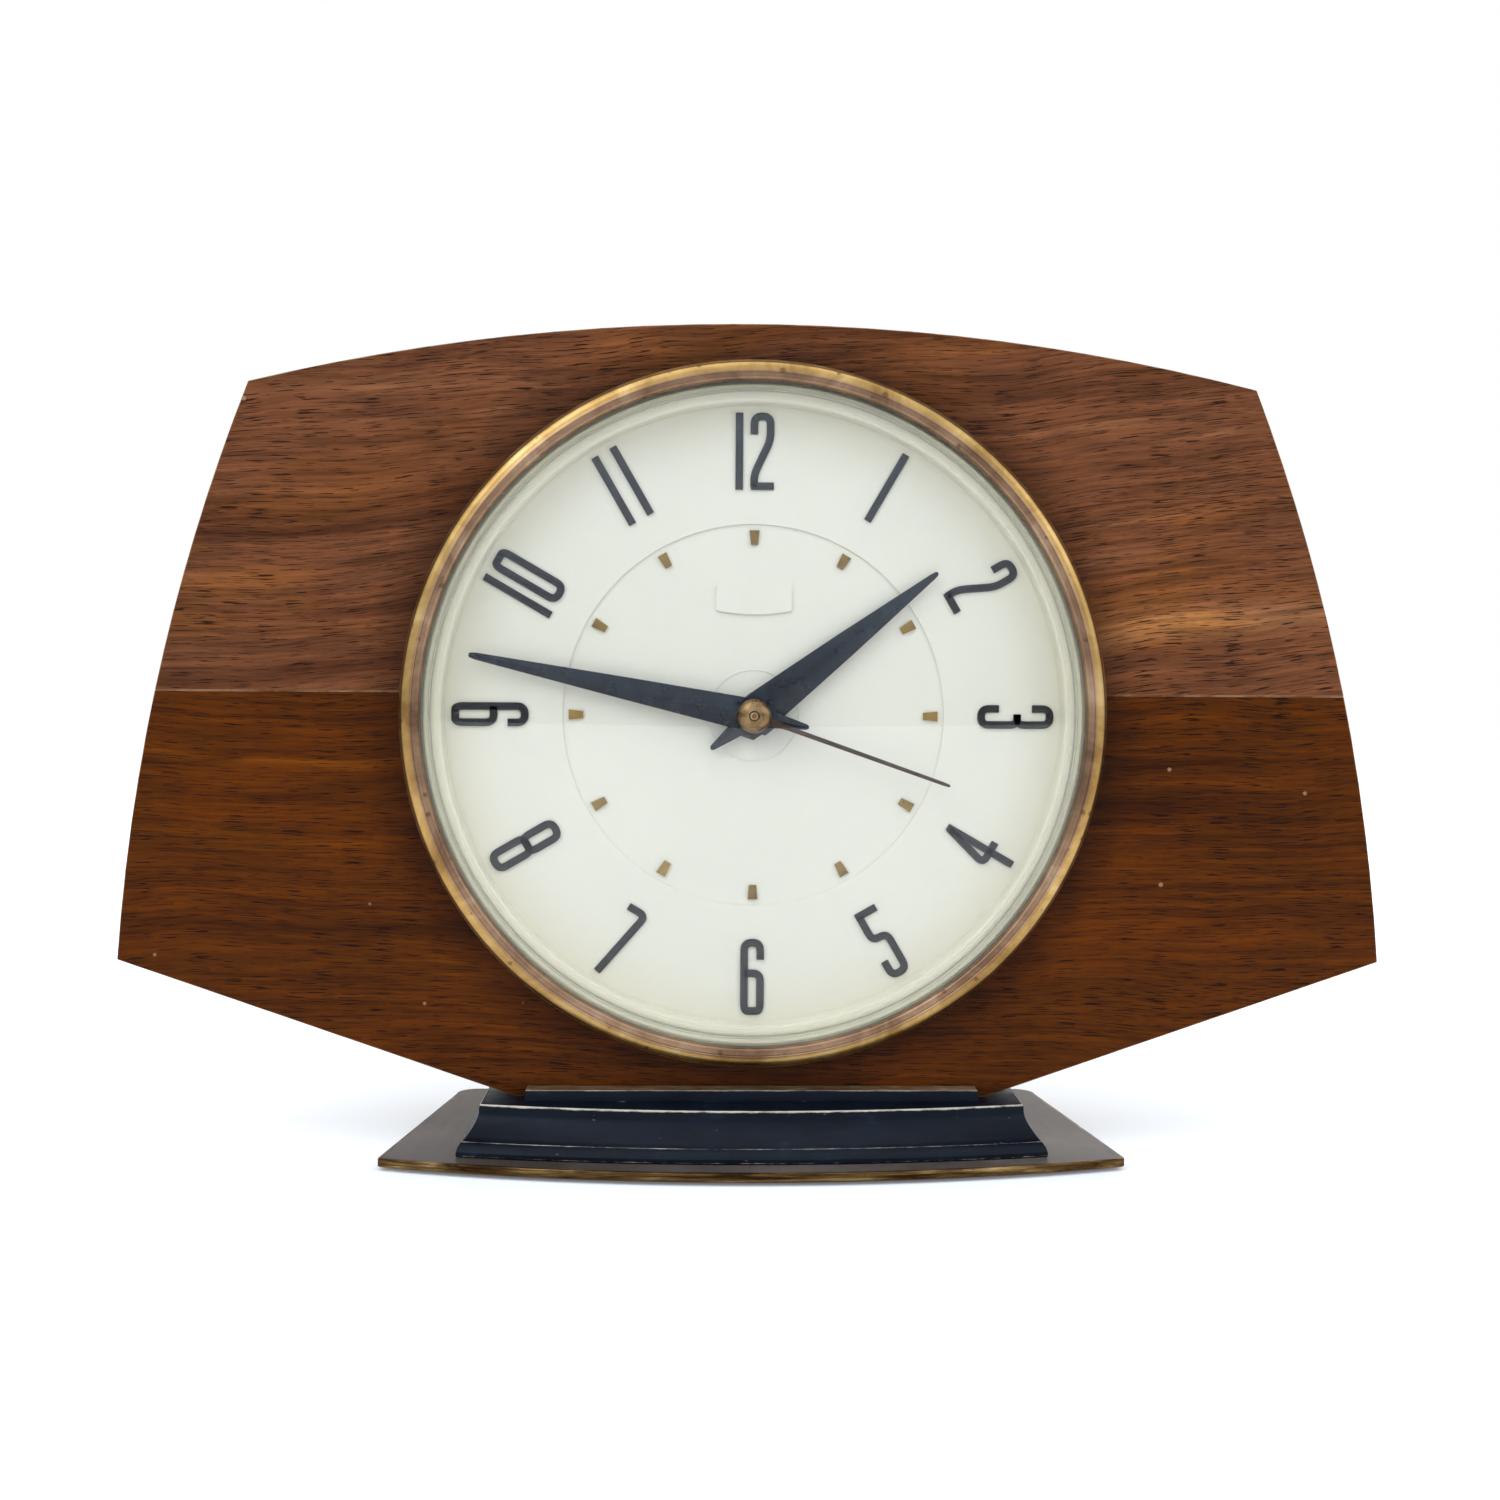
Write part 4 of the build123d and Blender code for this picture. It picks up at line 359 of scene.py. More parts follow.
# ---- finishes ----
def walnut(name, tilt, dark, middle, light, joint_z):
    """Lacquered veneer: drifting bands, fine streaks and short dark pores along the grain."""
    wood = Shade(name, Coat_Weight=0.015, Coat_Roughness=0.25, Specular_IOR_Level=0.06)
    along = wood.mapped(turn=(0, tilt, 0))
    wave = wood.noise(wood.mapped((9, 9, 14), source=along), 1.0, 2.0, 0.5)
    bent = wood.tree.nodes.new("ShaderNodeCombineXYZ")
    parts = wood.separate(along)
    wood.link(parts[0], bent.inputs[0])
    wood.link(parts[1], bent.inputs[1])
    wood.link(wood.sum("MULTIPLY_ADD", wave, 0.016, parts[2]), bent.inputs[2])
    grain = bent.outputs[0]
    bands = wood.noise(wood.mapped((3.5, 3.5, 75), source=grain), 1.0, 4.0, 0.55, 0.25)
    colour = wood.ramp(bands, [(0.30, dark), (0.44, middle), (0.58, middle), (0.72, light)])
    streaks = wood.noise(wood.mapped((24, 80, 900), source=grain), 1.0, 4.0, 0.65)
    colour = wood.mix(0.8, colour, wood.ramp(streaks, [(0.30, 0.34), (0.50, 0.92), (0.70, 1.45)]), "MULTIPLY")
    figure = wood.noise(wood.mapped((38, 30, 210), source=grain), 1.0, 3.0, 0.65, 0.4)
    colour = wood.mix(0.45, colour, wood.ramp(figure, [(0.36, 0.40), (0.52, 1.0), (0.70, 1.35)]), "MULTIPLY")
    flame = wood.noise(wood.mapped((14, 14, 45), source=grain), 1.0, 3.0, 0.6, 0.3)
    golden = wood.mix(1.0, colour, (1.35, 1.25, 0.55), "MULTIPLY")
    colour = wood.mix(wood.ramp(flame, [(0.50, 0.0), (0.70, 0.75)]), colour, golden)
    pore_field = wood.noise(wood.mapped((150, 620, 3900), source=grain), 1.0, 1.6, 0.55)
    pore_patches = wood.noise(wood.mapped((22, 22, 60), source=grain), 1.0, 2.0, 0.5)
    pores = wood.ramp(
        wood.sum("MULTIPLY_ADD", pore_patches, 0.16, pore_field), [(0.665, 0.0), (0.695, 1.0)]
    )
    colour = wood.mix(wood.sum("MULTIPLY", pores, 0.88), colour, tuple(value * 0.18 for value in dark))
    flecks = wood.cells(wood.mapped((75, 75, 75)))
    fleck_mask = wood.ramp(flecks, [(0.028, 1.0), (0.045, 0.0)])
    colour = wood.mix(wood.sum("MULTIPLY", fleck_mask, 0.5), colour, (0.42, 0.27, 0.15))
    height = wood.separate()[2]
    joint = wood.ramp(
        wood.sum("MULTIPLY", wood.sum("ABSOLUTE", wood.sum("SUBTRACT", height, joint_z)), 1000.0),
        [(0.10, 1.0), (0.24, 0.0)],
    )
    colour = wood.mix(wood.sum("MULTIPLY", joint, 0.28), colour, (0.33, 0.17, 0.08))
    # Painted shade: the veneer is darkened in a band round the bezel, darkest at the bezel's edge and fading
    # out about 10 mm beyond it.
    beyond_bezel = wood.sum("SUBTRACT", wood.dial_radius(), BEZEL_R / MM)
    bezel_shade = wood.ramp(
        wood.sum("MULTIPLY", beyond_bezel, 0.1), [(0.0, 0.26), (0.08, 0.56), (0.6, 0.78), (1.0, 1.0)]
    )
    colour = wood.mix(1.0, colour, bezel_shade, "MULTIPLY")
    # Pale edge colour on the rounded edges: partly wear, partly a painted highlight along the panel's edges.
    edge_wear_and_highlight = wood.sum("MULTIPLY", wood.attribute("wear_and_highlight"), wood.noise(wood.mapped((70, 70, 70)), 1.0, 4.0, 0.7))
    edge_wear_and_highlight = wood.ramp(edge_wear_and_highlight, [(0.40, 0.0), (0.56, 1.0)])
    colour = wood.mix(wood.sum("MULTIPLY", edge_wear_and_highlight, 0.75), colour, (0.34, 0.19, 0.10))
    hollow = wood.sum("MULTIPLY_ADD", pores, -1.0, wood.sum("MULTIPLY", streaks, 0.35))
    shine = wood.ramp(figure, [(0.3, 0.42), (0.7, 0.30)])
    return wood.set(Base_Color=colour, Roughness=shine, Normal=wood.bump(hollow, 0.35, 0.00006))


def board(name):
    """Stained chipboard or ply behind the veneer."""
    wood = Shade(name)
    layers = wood.noise(wood.mapped((25, 900, 60)), 1.0, 3.0, 0.6)
    chips = wood.noise(wood.mapped((60, 200, 420)), 1.0, 4.0, 0.65, 0.6)
    colour = wood.ramp(
        chips, [(0.30, (0.045, 0.018, 0.007)), (0.55, (0.105, 0.045, 0.018)), (0.75, (0.17, 0.08, 0.035))]
    )
    colour = wood.mix(0.4, colour, wood.ramp(layers, [(0.35, 0.55), (0.6, 1.15)]), "MULTIPLY")
    # Pale edge colour on the rounded edges: partly wear, partly a painted highlight.
    edge_wear_and_highlight = wood.sum("MULTIPLY", wood.attribute("wear_and_highlight"), wood.noise(wood.mapped((70, 70, 70)), 1.0, 4.0, 0.7))
    colour = wood.mix(wood.ramp(edge_wear_and_highlight, [(0.44, 0.0), (0.58, 0.7)]), colour, (0.36, 0.22, 0.12))
    return wood.set(
        Base_Color=colour,
        Roughness=wood.ramp(chips, [(0.3, 0.62), (0.7, 0.45)]),
        Normal=wood.bump(chips, 0.25, 0.0001),
    )


def metal(name, clean, dull, rough, grain=(90, 90, 90), marks=0.35, **constants):
    """A metal with patches of tarnish, fine scratches and an uneven polish."""
    plate = Shade(name, Metallic=1.0, **constants)
    patches = plate.noise(plate.mapped((60, 60, 60)), 1.0, 5.0, 0.65, 0.5)
    fine = plate.noise(plate.mapped(grain), 1.0, 4.0, 0.7)
    colour = plate.mix(plate.ramp(patches, [(0.38, 0.0), (0.66, 1.0)]), clean, dull)
    colour = plate.mix(marks, colour, plate.ramp(fine, [(0.3, 0.62), (0.55, 1.0), (0.75, 1.2)]), "MULTIPLY")
    shine = plate.mix(plate.ramp(fine, [(0.3, 0.0), (0.7, 1.0)]), rough[0], rough[1])
    return plate.set(Base_Color=colour, Roughness=shine, Normal=plate.bump(fine, 0.12, 0.00004))


def moulded(name, colour, rough, texture=600, depth=0.00004, mottled=0.12, **constants):
    """Moulded plastic with a fine surface and a slight unevenness of colour."""
    plastic = Shade(name, IOR=1.5, **constants)
    cloud = plastic.noise(plastic.mapped((28, 28, 28)), 1.0, 3.0, 0.5)
    skin = plastic.noise(plastic.mapped((texture, texture, texture)), 1.0, 2.0, 0.6)
    tone = plastic.ramp(cloud, [(0.3, 1.0 - mottled), (0.7, 1.0 + mottled * 0.5)])
    return plastic.set(
        Base_Color=plastic.mix(1.0, colour, tone, "MULTIPLY"),
        Roughness=plastic.ramp(skin, [(0.3, rough[0]), (0.7, rough[1])]),
        Normal=plastic.bump(skin, 0.15, depth),
    )


def ivory():
    """The dial: glossy ivory moulding that has yellowed towards its rim."""
    plastic = Shade("dial_ivory", IOR=1.49, Subsurface_Weight=0.12, Subsurface_Scale=0.002)
    plastic.shader.inputs["Subsurface Radius"].default_value = (1.0, 0.8, 0.5)
    radius = plastic.dial_radius()
    edge = plastic.ramp(plastic.sum("DIVIDE", radius, 72.0), [(0.0, 0.0), (0.80, 0.18), (1.0, 1.0)])
    cloud = plastic.noise(plastic.mapped((22, 22, 22)), 1.0, 4.0, 0.55)
    colour = plastic.mix(edge, (0.775, 0.740, 0.620), (0.750, 0.700, 0.540))
    colour = plastic.mix(0.35, colour, plastic.ramp(cloud, [(0.3, 0.93), (0.7, 1.03)]), "MULTIPLY")
    skin = plastic.noise(plastic.mapped((420, 420, 420)), 1.0, 3.0, 0.6)
    return plastic.set(
        Base_Color=colour,
        Roughness=plastic.ramp(skin, [(0.3, 0.30), (0.7, 0.42)]),
        Normal=plastic.bump(skin, 0.10, 0.00003),
    )


def paint(name):
    """Blue-black paint on the plinth, with pale patches on its edges that are partly rubbed-through undercoat
    and partly painted highlight.
    """
    coat = Shade(name, Specular_IOR_Level=0.12)
    cloud = coat.noise(coat.mapped((70, 70, 160)), 1.0, 5.0, 0.6)
    colour = coat.ramp(
        cloud, [(0.30, (0.001, 0.002, 0.005)), (0.60, (0.003, 0.006, 0.012)), (0.80, (0.012, 0.020, 0.030))]
    )
    rub = coat.noise(coat.mapped((150, 300, 480)), 1.0, 6.0, 0.78)
    # Pale patches along the plinth's edge lines: partly rubbed-through undercoat, partly painted highlight.
    edge_wear_and_highlight = coat.sum("MULTIPLY_ADD", coat.attribute("wear_and_highlight"), 0.62, coat.sum("MULTIPLY", rub, 0.75))
    edge_wear_and_highlight = coat.ramp(edge_wear_and_highlight, [(0.80, 0.0), (0.98, 1.0)])
    scratch = coat.cells(coat.mapped((160, 160, 620)))
    sparse = coat.sum("ADD", scratch, coat.sum("MULTIPLY", cloud, 0.35))
    specks = coat.ramp(sparse, [(0.17, 1.0), (0.22, 0.0)])
    colour = coat.mix(coat.sum("MULTIPLY", specks, 0.55), colour, (0.22, 0.24, 0.24))
    colour = coat.mix(edge_wear_and_highlight, colour, (0.52, 0.46, 0.36))
    return coat.set(
        Base_Color=colour,
        Roughness=coat.ramp(rub, [(0.3, 0.26), (0.7, 0.48)]),
        Normal=coat.bump(coat.sum("MULTIPLY_ADD", edge_wear_and_highlight, -0.8, rub), 0.55, 0.00012),
    )


def lip_gilt():
    """The rubbed pale gold strip along the top of the plinth's lip."""
    return metal("lip_gilt", (0.83, 0.70, 0.45), (0.62, 0.48, 0.26), (0.30, 0.52), (180, 400, 400), 0.3)


def bezel_brass():
    """Brass that is yellow on the outer roll and mauve-brown with tarnish on the inner slope."""
    ring = Shade("bezel_aged_brass", Metallic=1.0)
    radius = ring.dial_radius()
    outer = BEZEL_R / MM
    zone = ring.ramp(ring.sum("DIVIDE", radius, outer), [(0.962, 0.0), (0.970, 1.0)])
    patches = ring.noise(ring.mapped((55, 55, 55)), 1.0, 5.0, 0.65, 0.6)
    yellow = ring.ramp(
        patches, [(0.34, (0.26, 0.135, 0.038)), (0.54, (0.50, 0.30, 0.10)), (0.72, (0.74, 0.50, 0.22))]
    )
    mauve = ring.ramp(
        patches, [(0.34, (0.16, 0.085, 0.048)), (0.55, (0.33, 0.195, 0.115)), (0.72, (0.52, 0.36, 0.23))]
    )
    colour = ring.mix(zone, mauve, yellow)
    # A thin dark line painted round the ring's outer slope, a little inside its outer edge.
    outer_dark_line = ring.ramp(
        ring.sum("ABSOLUTE", ring.sum("SUBTRACT", radius, 0.990 * outer)), [(0.10, 1.0), (0.30, 0.0)]
    )
    colour = ring.mix(ring.sum("MULTIPLY", outer_dark_line, 0.8), colour, (0.06, 0.03, 0.015))
    spots = ring.cells(ring.mapped((260, 260, 260)))
    pits = ring.ramp(ring.sum("MULTIPLY_ADD", patches, 0.5, spots), [(0.34, 1.0), (0.42, 0.0)])
    colour = ring.mix(ring.sum("MULTIPLY", pits, 0.65), colour, (0.09, 0.045, 0.02))
    fine = ring.noise(ring.mapped((700, 700, 700)), 1.0, 3.0, 0.7)
    return ring.set(
        Base_Color=colour,
        Roughness=ring.mix(patches, 0.24, 0.46),
        Normal=ring.bump(ring.sum("MULTIPLY_ADD", pits, -0.6, fine), 0.18, 0.00005),
    )


def cap_brass():
    """Domed cap: browned brass, brighter on the turned pin at its centre, dark in the ring round it."""
    dome_finish = Shade("cap_aged_brass", Metallic=1.0)
    radius = dome_finish.dial_radius()
    patches = dome_finish.noise(dome_finish.mapped((420, 420, 420)), 1.0, 4.0, 0.6)
    browned = dome_finish.ramp(patches, [(0.35, (0.20, 0.115, 0.052)), (0.70, (0.37, 0.245, 0.115))])
    tone = dome_finish.ramp(
        dome_finish.sum("MULTIPLY", radius, 0.25),
        [
            (0.0, 0.9), (0.10, 0.7), (0.15, 1.5), (0.205, 1.6),
            (0.225, 0.22), (0.275, 0.25), (0.31, 1.1), (0.9, 0.8),
        ],
    )
    return dome_finish.set(
        Base_Color=dome_finish.mix(1.0, browned, tone, "MULTIPLY"),
        Roughness=dome_finish.ramp(patches, [(0.3, 0.22), (0.7, 0.38)]),
        Normal=dome_finish.bump(patches, 0.06, 0.00003),
    )


def plate_brass():
    """Base plate: lacquer gone grey-brown on top, rubbed golden along the edge."""
    sheet = Shade("plate_aged_brass", Specular_IOR_Level=0.10)
    streak = sheet.noise(sheet.mapped((30, 190, 700)), 1.0, 5.0, 0.68, 0.4)
    cloud = sheet.noise(sheet.mapped((26, 26, 26)), 1.0, 5.0, 0.6, 0.5)
    top = sheet.ramp(
        cloud, [(0.30, (0.050, 0.038, 0.031)), (0.52, (0.090, 0.072, 0.062)), (0.75, (0.150, 0.120, 0.098))]
    )
    edge = sheet.ramp(
        streak,
        [
            (0.40, (0.030, 0.013, 0.004)), (0.54, (0.14, 0.075, 0.026)),
            (0.66, (0.40, 0.26, 0.10)), (0.80, (0.85, 0.68, 0.37)),
        ],
    )
    colour = sheet.mix(sheet.attribute("wear_and_highlight"), top, edge)
    scuff = sheet.noise(sheet.mapped((420, 60, 420)), 1.0, 4.0, 0.7)
    colour = sheet.mix(0.35, colour, sheet.ramp(scuff, [(0.3, 0.6), (0.6, 1.1)]), "MULTIPLY")
    return sheet.set(
        Base_Color=colour,
        Metallic=sheet.ramp(sheet.attribute("wear_and_highlight"), [(0.0, 0.12), (0.9, 1.0)]),
        Roughness=sheet.mix(cloud, 0.36, 0.55),
        Normal=sheet.bump(scuff, 0.15, 0.00005),
    )


def acrylic():
    """Clear moulded lens, slightly milky in its flange; lamps shine through it."""
    clear = Shade("lens_acrylic", IOR=1.34)
    haze = clear.noise(clear.mapped((180, 180, 180)), 1.0, 4.0, 0.6)
    flange = clear.sum("DIVIDE", clear.dial_radius(), BEZEL_R / MM)
    clear.set(
        Base_Color=clear.ramp(flange, [(0.872, (0.99, 0.99, 0.985)), (0.895, (0.93, 0.90, 0.78))]),
        Roughness=clear.ramp(haze, [(0.45, 0.0), (0.8, 0.03)]),
        Transmission_Weight=clear.ramp(flange, [(0.872, 1.0), (0.895, 0.84)]),
    )
    nodes = clear.tree.nodes
    path = nodes.new("ShaderNodeLightPath")
    through = nodes.new("ShaderNodeBsdfTransparent")
    either = nodes.new("ShaderNodeMixShader")
    clear.link(path.outputs["Is Shadow Ray"], either.inputs[0])
    clear.link(clear.shader.outputs[0], either.inputs[1])
    clear.link(through.outputs[0], either.inputs[2])
    clear.link(either.outputs[0], nodes["Material Output"].inputs["Surface"])
    return clear.material


def enamel(name, dark, light, rough):
    """Black enamel on thin sheet, with dust and hairline rubs."""
    coat = Shade(name, Coat_Weight=0.12, Coat_Roughness=0.2, IOR=1.4)
    dust = coat.noise(coat.mapped((300, 300, 300)), 1.0, 5.0, 0.7)
    hair = coat.noise(coat.mapped((260, 260, 260)), 1.0, 4.0, 0.7)
    colour = coat.ramp(dust, [(0.35, dark), (0.70, light)])
    specks = coat.ramp(coat.cells(coat.mapped((420, 420, 420))), [(0.05, 1.0), (0.08, 0.0)])
    colour = coat.mix(coat.sum("MULTIPLY", specks, 0.3), colour, (0.16, 0.16, 0.16))
    return coat.set(
        Base_Color=colour,
        Roughness=coat.ramp(hair, [(0.3, rough[0]), (0.7, rough[1])]),
        Normal=coat.bump(dust, 0.12, 0.00003),
    )


def felt():
    cloth = Shade("base_green_felt", Roughness=0.95, Sheen_Weight=0.6, Sheen_Roughness=0.5)
    nap = cloth.noise(cloth.mapped((900, 900, 900)), 1.0, 4.0, 0.8)
    colour = cloth.ramp(nap, [(0.3, (0.018, 0.045, 0.022)), (0.7, (0.055, 0.115, 0.06))])
    return cloth.set(Base_Color=colour, Normal=cloth.bump(nap, 0.7, 0.0003))


def cell_wrap():
    """A plain two-colour wrap with metal end caps, told apart by distance along the cell."""
    wrap = Shade("cell_wrap", Coat_Weight=0.3, Coat_Roughness=0.2)
    along = wrap.sum("MULTIPLY_ADD", wrap.separate()[0], 20.0, 0.5)
    band = wrap.ramp(along, [(0.60, 0.0), (0.605, 1.0)])
    colour = wrap.mix(band, (0.020, 0.035, 0.085), (0.62, 0.36, 0.12))
    end = wrap.ramp(along, [(0.962, 0.0), (0.965, 1.0)])
    scuff = wrap.noise(wrap.mapped((240, 240, 240)), 1.0, 5.0, 0.7)
    colour = wrap.mix(end, colour, (0.62, 0.60, 0.56))
    colour = wrap.mix(0.4, colour, wrap.ramp(scuff, [(0.3, 0.7), (0.7, 1.1)]), "MULTIPLY")
    return wrap.set(
        Base_Color=colour, Roughness=wrap.ramp(scuff, [(0.3, 0.25), (0.7, 0.42)]), Metallic=end
    )


def copper():
    """Fine enamelled wire wound round the coil's axis."""
    wire = Shade("coil_copper", Metallic=1.0)
    layers = wire.noise(wire.mapped((40, 6000, 40)), 1.0, 2.0, 0.5)
    colour = wire.ramp(layers, [(0.35, (0.24, 0.06, 0.02)), (0.6, (0.72, 0.28, 0.12))])
    return wire.set(
        Base_Color=colour,
        Roughness=wire.ramp(layers, [(0.3, 0.4), (0.7, 0.25)]),
        Normal=wire.bump(layers, 0.6, 0.00005),
    )


joint_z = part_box("veneer_upper")[0][2]
UPPER_VENEER = walnut(
    "veneer_upper_walnut", 5.0, (0.068, 0.019, 0.006), (0.152, 0.051, 0.019), (0.29, 0.116, 0.046), joint_z
)
# The lower leaf's colours are partly its own darker tone and partly painted shade, darkened to stand for the
# shadow over the panel's lower half.
LOWER_VENEER = walnut(
    "veneer_lower_walnut",
    -1.0, (0.036, 0.0075, 0.0001), (0.086, 0.0195, 0.0003), (0.180, 0.052, 0.001), joint_z,
)
BOARD = board("panel_edge_board")
PAINT = paint("plinth_blue_black")
GILT = lip_gilt()
PLATE = plate_brass()
BEZEL = bezel_brass()
LENS = acrylic()
IVORY = ivory()
BLACK = enamel("numeral_black", (0.006, 0.006, 0.006), (0.020, 0.019, 0.017), (0.28, 0.45))
HAND = enamel("hand_black_enamel", (0.004, 0.0055, 0.009), (0.016, 0.021, 0.030), (0.22, 0.40))
GOLD = metal("marker_gold", (0.40, 0.26, 0.09), (0.19, 0.11, 0.03), (0.25, 0.45), (500, 500, 500))
BRONZE = metal("seconds_bronze", (0.09, 0.055, 0.04), (0.045, 0.028, 0.02), (0.3, 0.5), (400, 400, 400))
CAP = cap_brass()
BRASS = metal("movement_brass", (0.80, 0.60, 0.28), (0.58, 0.40, 0.16), (0.22, 0.42), (120, 120, 1400))
STEEL = metal("polished_steel", (0.62, 0.62, 0.63), (0.42, 0.42, 0.43), (0.20, 0.38), (500, 500, 500))
ZINC = metal("zinc_screws", (0.56, 0.56, 0.53), (0.34, 0.32, 0.27), (0.28, 0.5), (600, 600, 600))
PAN = moulded("pan_cream_enamel", (0.76, 0.75, 0.62), (0.30, 0.45), 500, 0.00003, 0.12)
BRACKET = metal("bracket_plated_steel", (0.60, 0.60, 0.60), (0.42, 0.41, 0.39), (0.30, 0.5), (140, 140, 900))
NICKEL = metal("contact_nickel", (0.66, 0.63, 0.57), (0.44, 0.40, 0.33), (0.22, 0.4), (500, 500, 500))
MAGNET = metal("magnet_sintered", (0.26, 0.26, 0.27), (0.15, 0.15, 0.16), (0.4, 0.6), (900, 900, 900))
BLUED = metal("hairspring_blued", (0.20, 0.24, 0.42), (0.12, 0.13, 0.24), (0.2, 0.35), (500, 500, 500))
COVER = moulded("cover_brown_plastic", (0.055, 0.040, 0.032), (0.38, 0.55), 900, 0.00008, 0.2)
KNOB = moulded("knob_cream_plastic", (0.66, 0.62, 0.50), (0.32, 0.48), 500, 0.00004, 0.15)
NYLON = moulded("bobbin_nylon", (0.74, 0.71, 0.60), (0.35, 0.5), 500, 0.00004, 0.1)
LAMINATE = moulded("board_laminate", (0.27, 0.15, 0.06), (0.4, 0.6), 700, 0.00005, 0.3)
PARTS = moulded("board_parts", (0.03, 0.03, 0.035), (0.25, 0.4), 600, 0.00003, 0.3)
GASKET = moulded("gasket_pale_vinyl", (0.78, 0.78, 0.68), (0.45, 0.6), 800, 0.0001, 0.15)
FELT = felt()
WRAP = cell_wrap()
COPPER = copper()

NODE_FINISH = {
    "panel_core": BOARD, "veneer_upper": UPPER_VENEER, "veneer_lower": LOWER_VENEER,
    "plinth": PAINT, "base_plate": PLATE, "base_felt": FELT, "bezel": BEZEL, "lens": LENS,
    "lens_gasket": GASKET, "dial_pan": PAN, "clamp_brackets": BRACKET, "dial": IVORY,
    "dial_numerals": BLACK, "hour_markers": GOLD, "minute_hand": HAND, "hour_hand": HAND,
    "hand_nut": HAND, "seconds_hand": BRONZE, "hand_cap": CAP, "balance_magnets": MAGNET,
    "hairspring": BLUED, "rear_cover": COVER, "set_knob": KNOB, "coil_bobbin": NYLON,
    "coil_winding": COPPER, "circuit_board": LAMINATE, "board_components": PARTS,
    "contact_positive": NICKEL, "contact_negative": NICKEL, "cell": WRAP,
}
SCREWS = ("plate_screws", "panel_screws", "cover_screws", "clamp_screws", "mounting_screws", "pillar_screws")
STEELS = (
    "third_arbor", "seconds_arbor", "motion_stud", "lever_stud", "spring_stud", "balance_staff",
    "set_shaft", "index_lever", "regulator_lever", "board_posts",
)


def finish_of(node):
    if node in NODE_FINISH:
        return NODE_FINISH[node]
    if node in SCREWS:
        return ZINC
    return STEEL if node in STEELS else BRASS


for node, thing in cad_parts.items():
    thing.data.materials.clear()
    thing.data.materials.append(finish_of(node))


def dress(piece, material, body):
    """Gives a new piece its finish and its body."""
    if not piece.data.materials:
        piece.data.materials.append(material)
    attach(piece, body)
    return piece


def mark_bevels(piece):
    """Marks the rounded outer edges for the pale edge colour, which is partly wear and partly painted
    highlight.
    """
    attribute = piece.data.attributes.new("wear_and_highlight", "FLOAT", "FACE")
    for face in piece.data.polygons:
        rounded_off = 0.15 < abs(face.normal.y) < 0.985
        if rounded_off and math.hypot(face.center.x, face.center.z - DIAL_Z) > BEZEL_R:
            attribute.data[face.index].value = 1.0


# ---- panel ----
for node, material, slot in (
    ("veneer_upper", UPPER_VENEER, "walnut_veneer"),
    ("veneer_lower", LOWER_VENEER, "walnut_veneer"),
    ("panel_core", BOARD, "panel_board"),
):
    leaf = softened(node, 0.22 * MM, 2, 30)
    mark_bevels(leaf)
    dress(leaf, material, "case")

# ---- plinth ----
PLINTH_FOOT = plinth_low[2] / MM
PLINTH_HALF = plinth_high[0] / MM
PLINTH_BACK = plinth_high[1] / MM
PLINTH_FRONT = plinth_low[1] / MM
LIP_H = 2.6
LEDGE = plinth_high[2] / MM - LIP_H
COVE_FLARE = 6.8
ARC_DROP = 6.4
LIP_HALF = 50.3
LIP_T = 5.0
FRONT_STEPS = 28
NARROWING = 0.88


def bowed(half, end_y, centre_y, count):
    """Points of a shallow arc from left to right that bows forwards in the middle."""
    sag = end_y - centre_y
    radius = (half**2 + sag**2) / (2 * sag)
    points = []
    for step in range(count + 1):
        x = -half + 2 * half * step / count
        points.append((x, centre_y + radius - math.sqrt(radius**2 - x**2)))
    return points


def plinth_level(flare, narrow):
    half = PLINTH_HALF - NARROWING * narrow
    centre_y = PLINTH_FRONT + COVE_FLARE - flare
    front = bowed(half, centre_y + ARC_DROP, centre_y, FRONT_STEPS)
    return front + [(half, PLINTH_BACK), (-half, PLINTH_BACK)]


def cove(share):
    """How far the cove still stands out, from its foot to the ledge."""
    return 1 - math.sin(share * math.pi / 2)


# The third number of each level weights the pale edge colour: partly wear, partly painted highlight along the
# plinth's edge lines.
levels = [
    (PLINTH_FOOT, plinth_level(6.45, 0.3), 0.0),
    (PLINTH_FOOT + 0.35, plinth_level(6.8, 0.0), 0.75),
    (PLINTH_FOOT + 1.15, plinth_level(6.75, 0.05), 0.0),
    (PLINTH_FOOT + 2.0, plinth_level(6.2, 0.35), 0.0),
    (PLINTH_FOOT + 2.75, plinth_level(5.2, 0.95), 0.15),
    (PLINTH_FOOT + 2.95, plinth_level(4.85, 1.2), 0.85),
    (PLINTH_FOOT + 3.05, plinth_level(4.45, 1.5), 0.1),
]
for step in range(1, 8):
    share = step / 8
    rise = PLINTH_FOOT + 3.05 + share * 5.75
    levels.append((rise, plinth_level(4.45 * cove(share), 1.5 + 3.3 * (1 - cove(share))), 0.0))
levels += [
    (LEDGE - 0.75, plinth_level(0.10, 4.85), 0.35),
    (LEDGE - 0.25, plinth_level(0.04, 4.9), 0.9),
    (LEDGE - 0.04, plinth_level(-0.12, 5.05), 1.0),
    (LEDGE, plinth_level(-0.40, 5.3), 0.45),
    (LEDGE, plinth_level(-1.2, 6.0), 0.0),
]
plinth_body = stacked("plinth_body", levels)


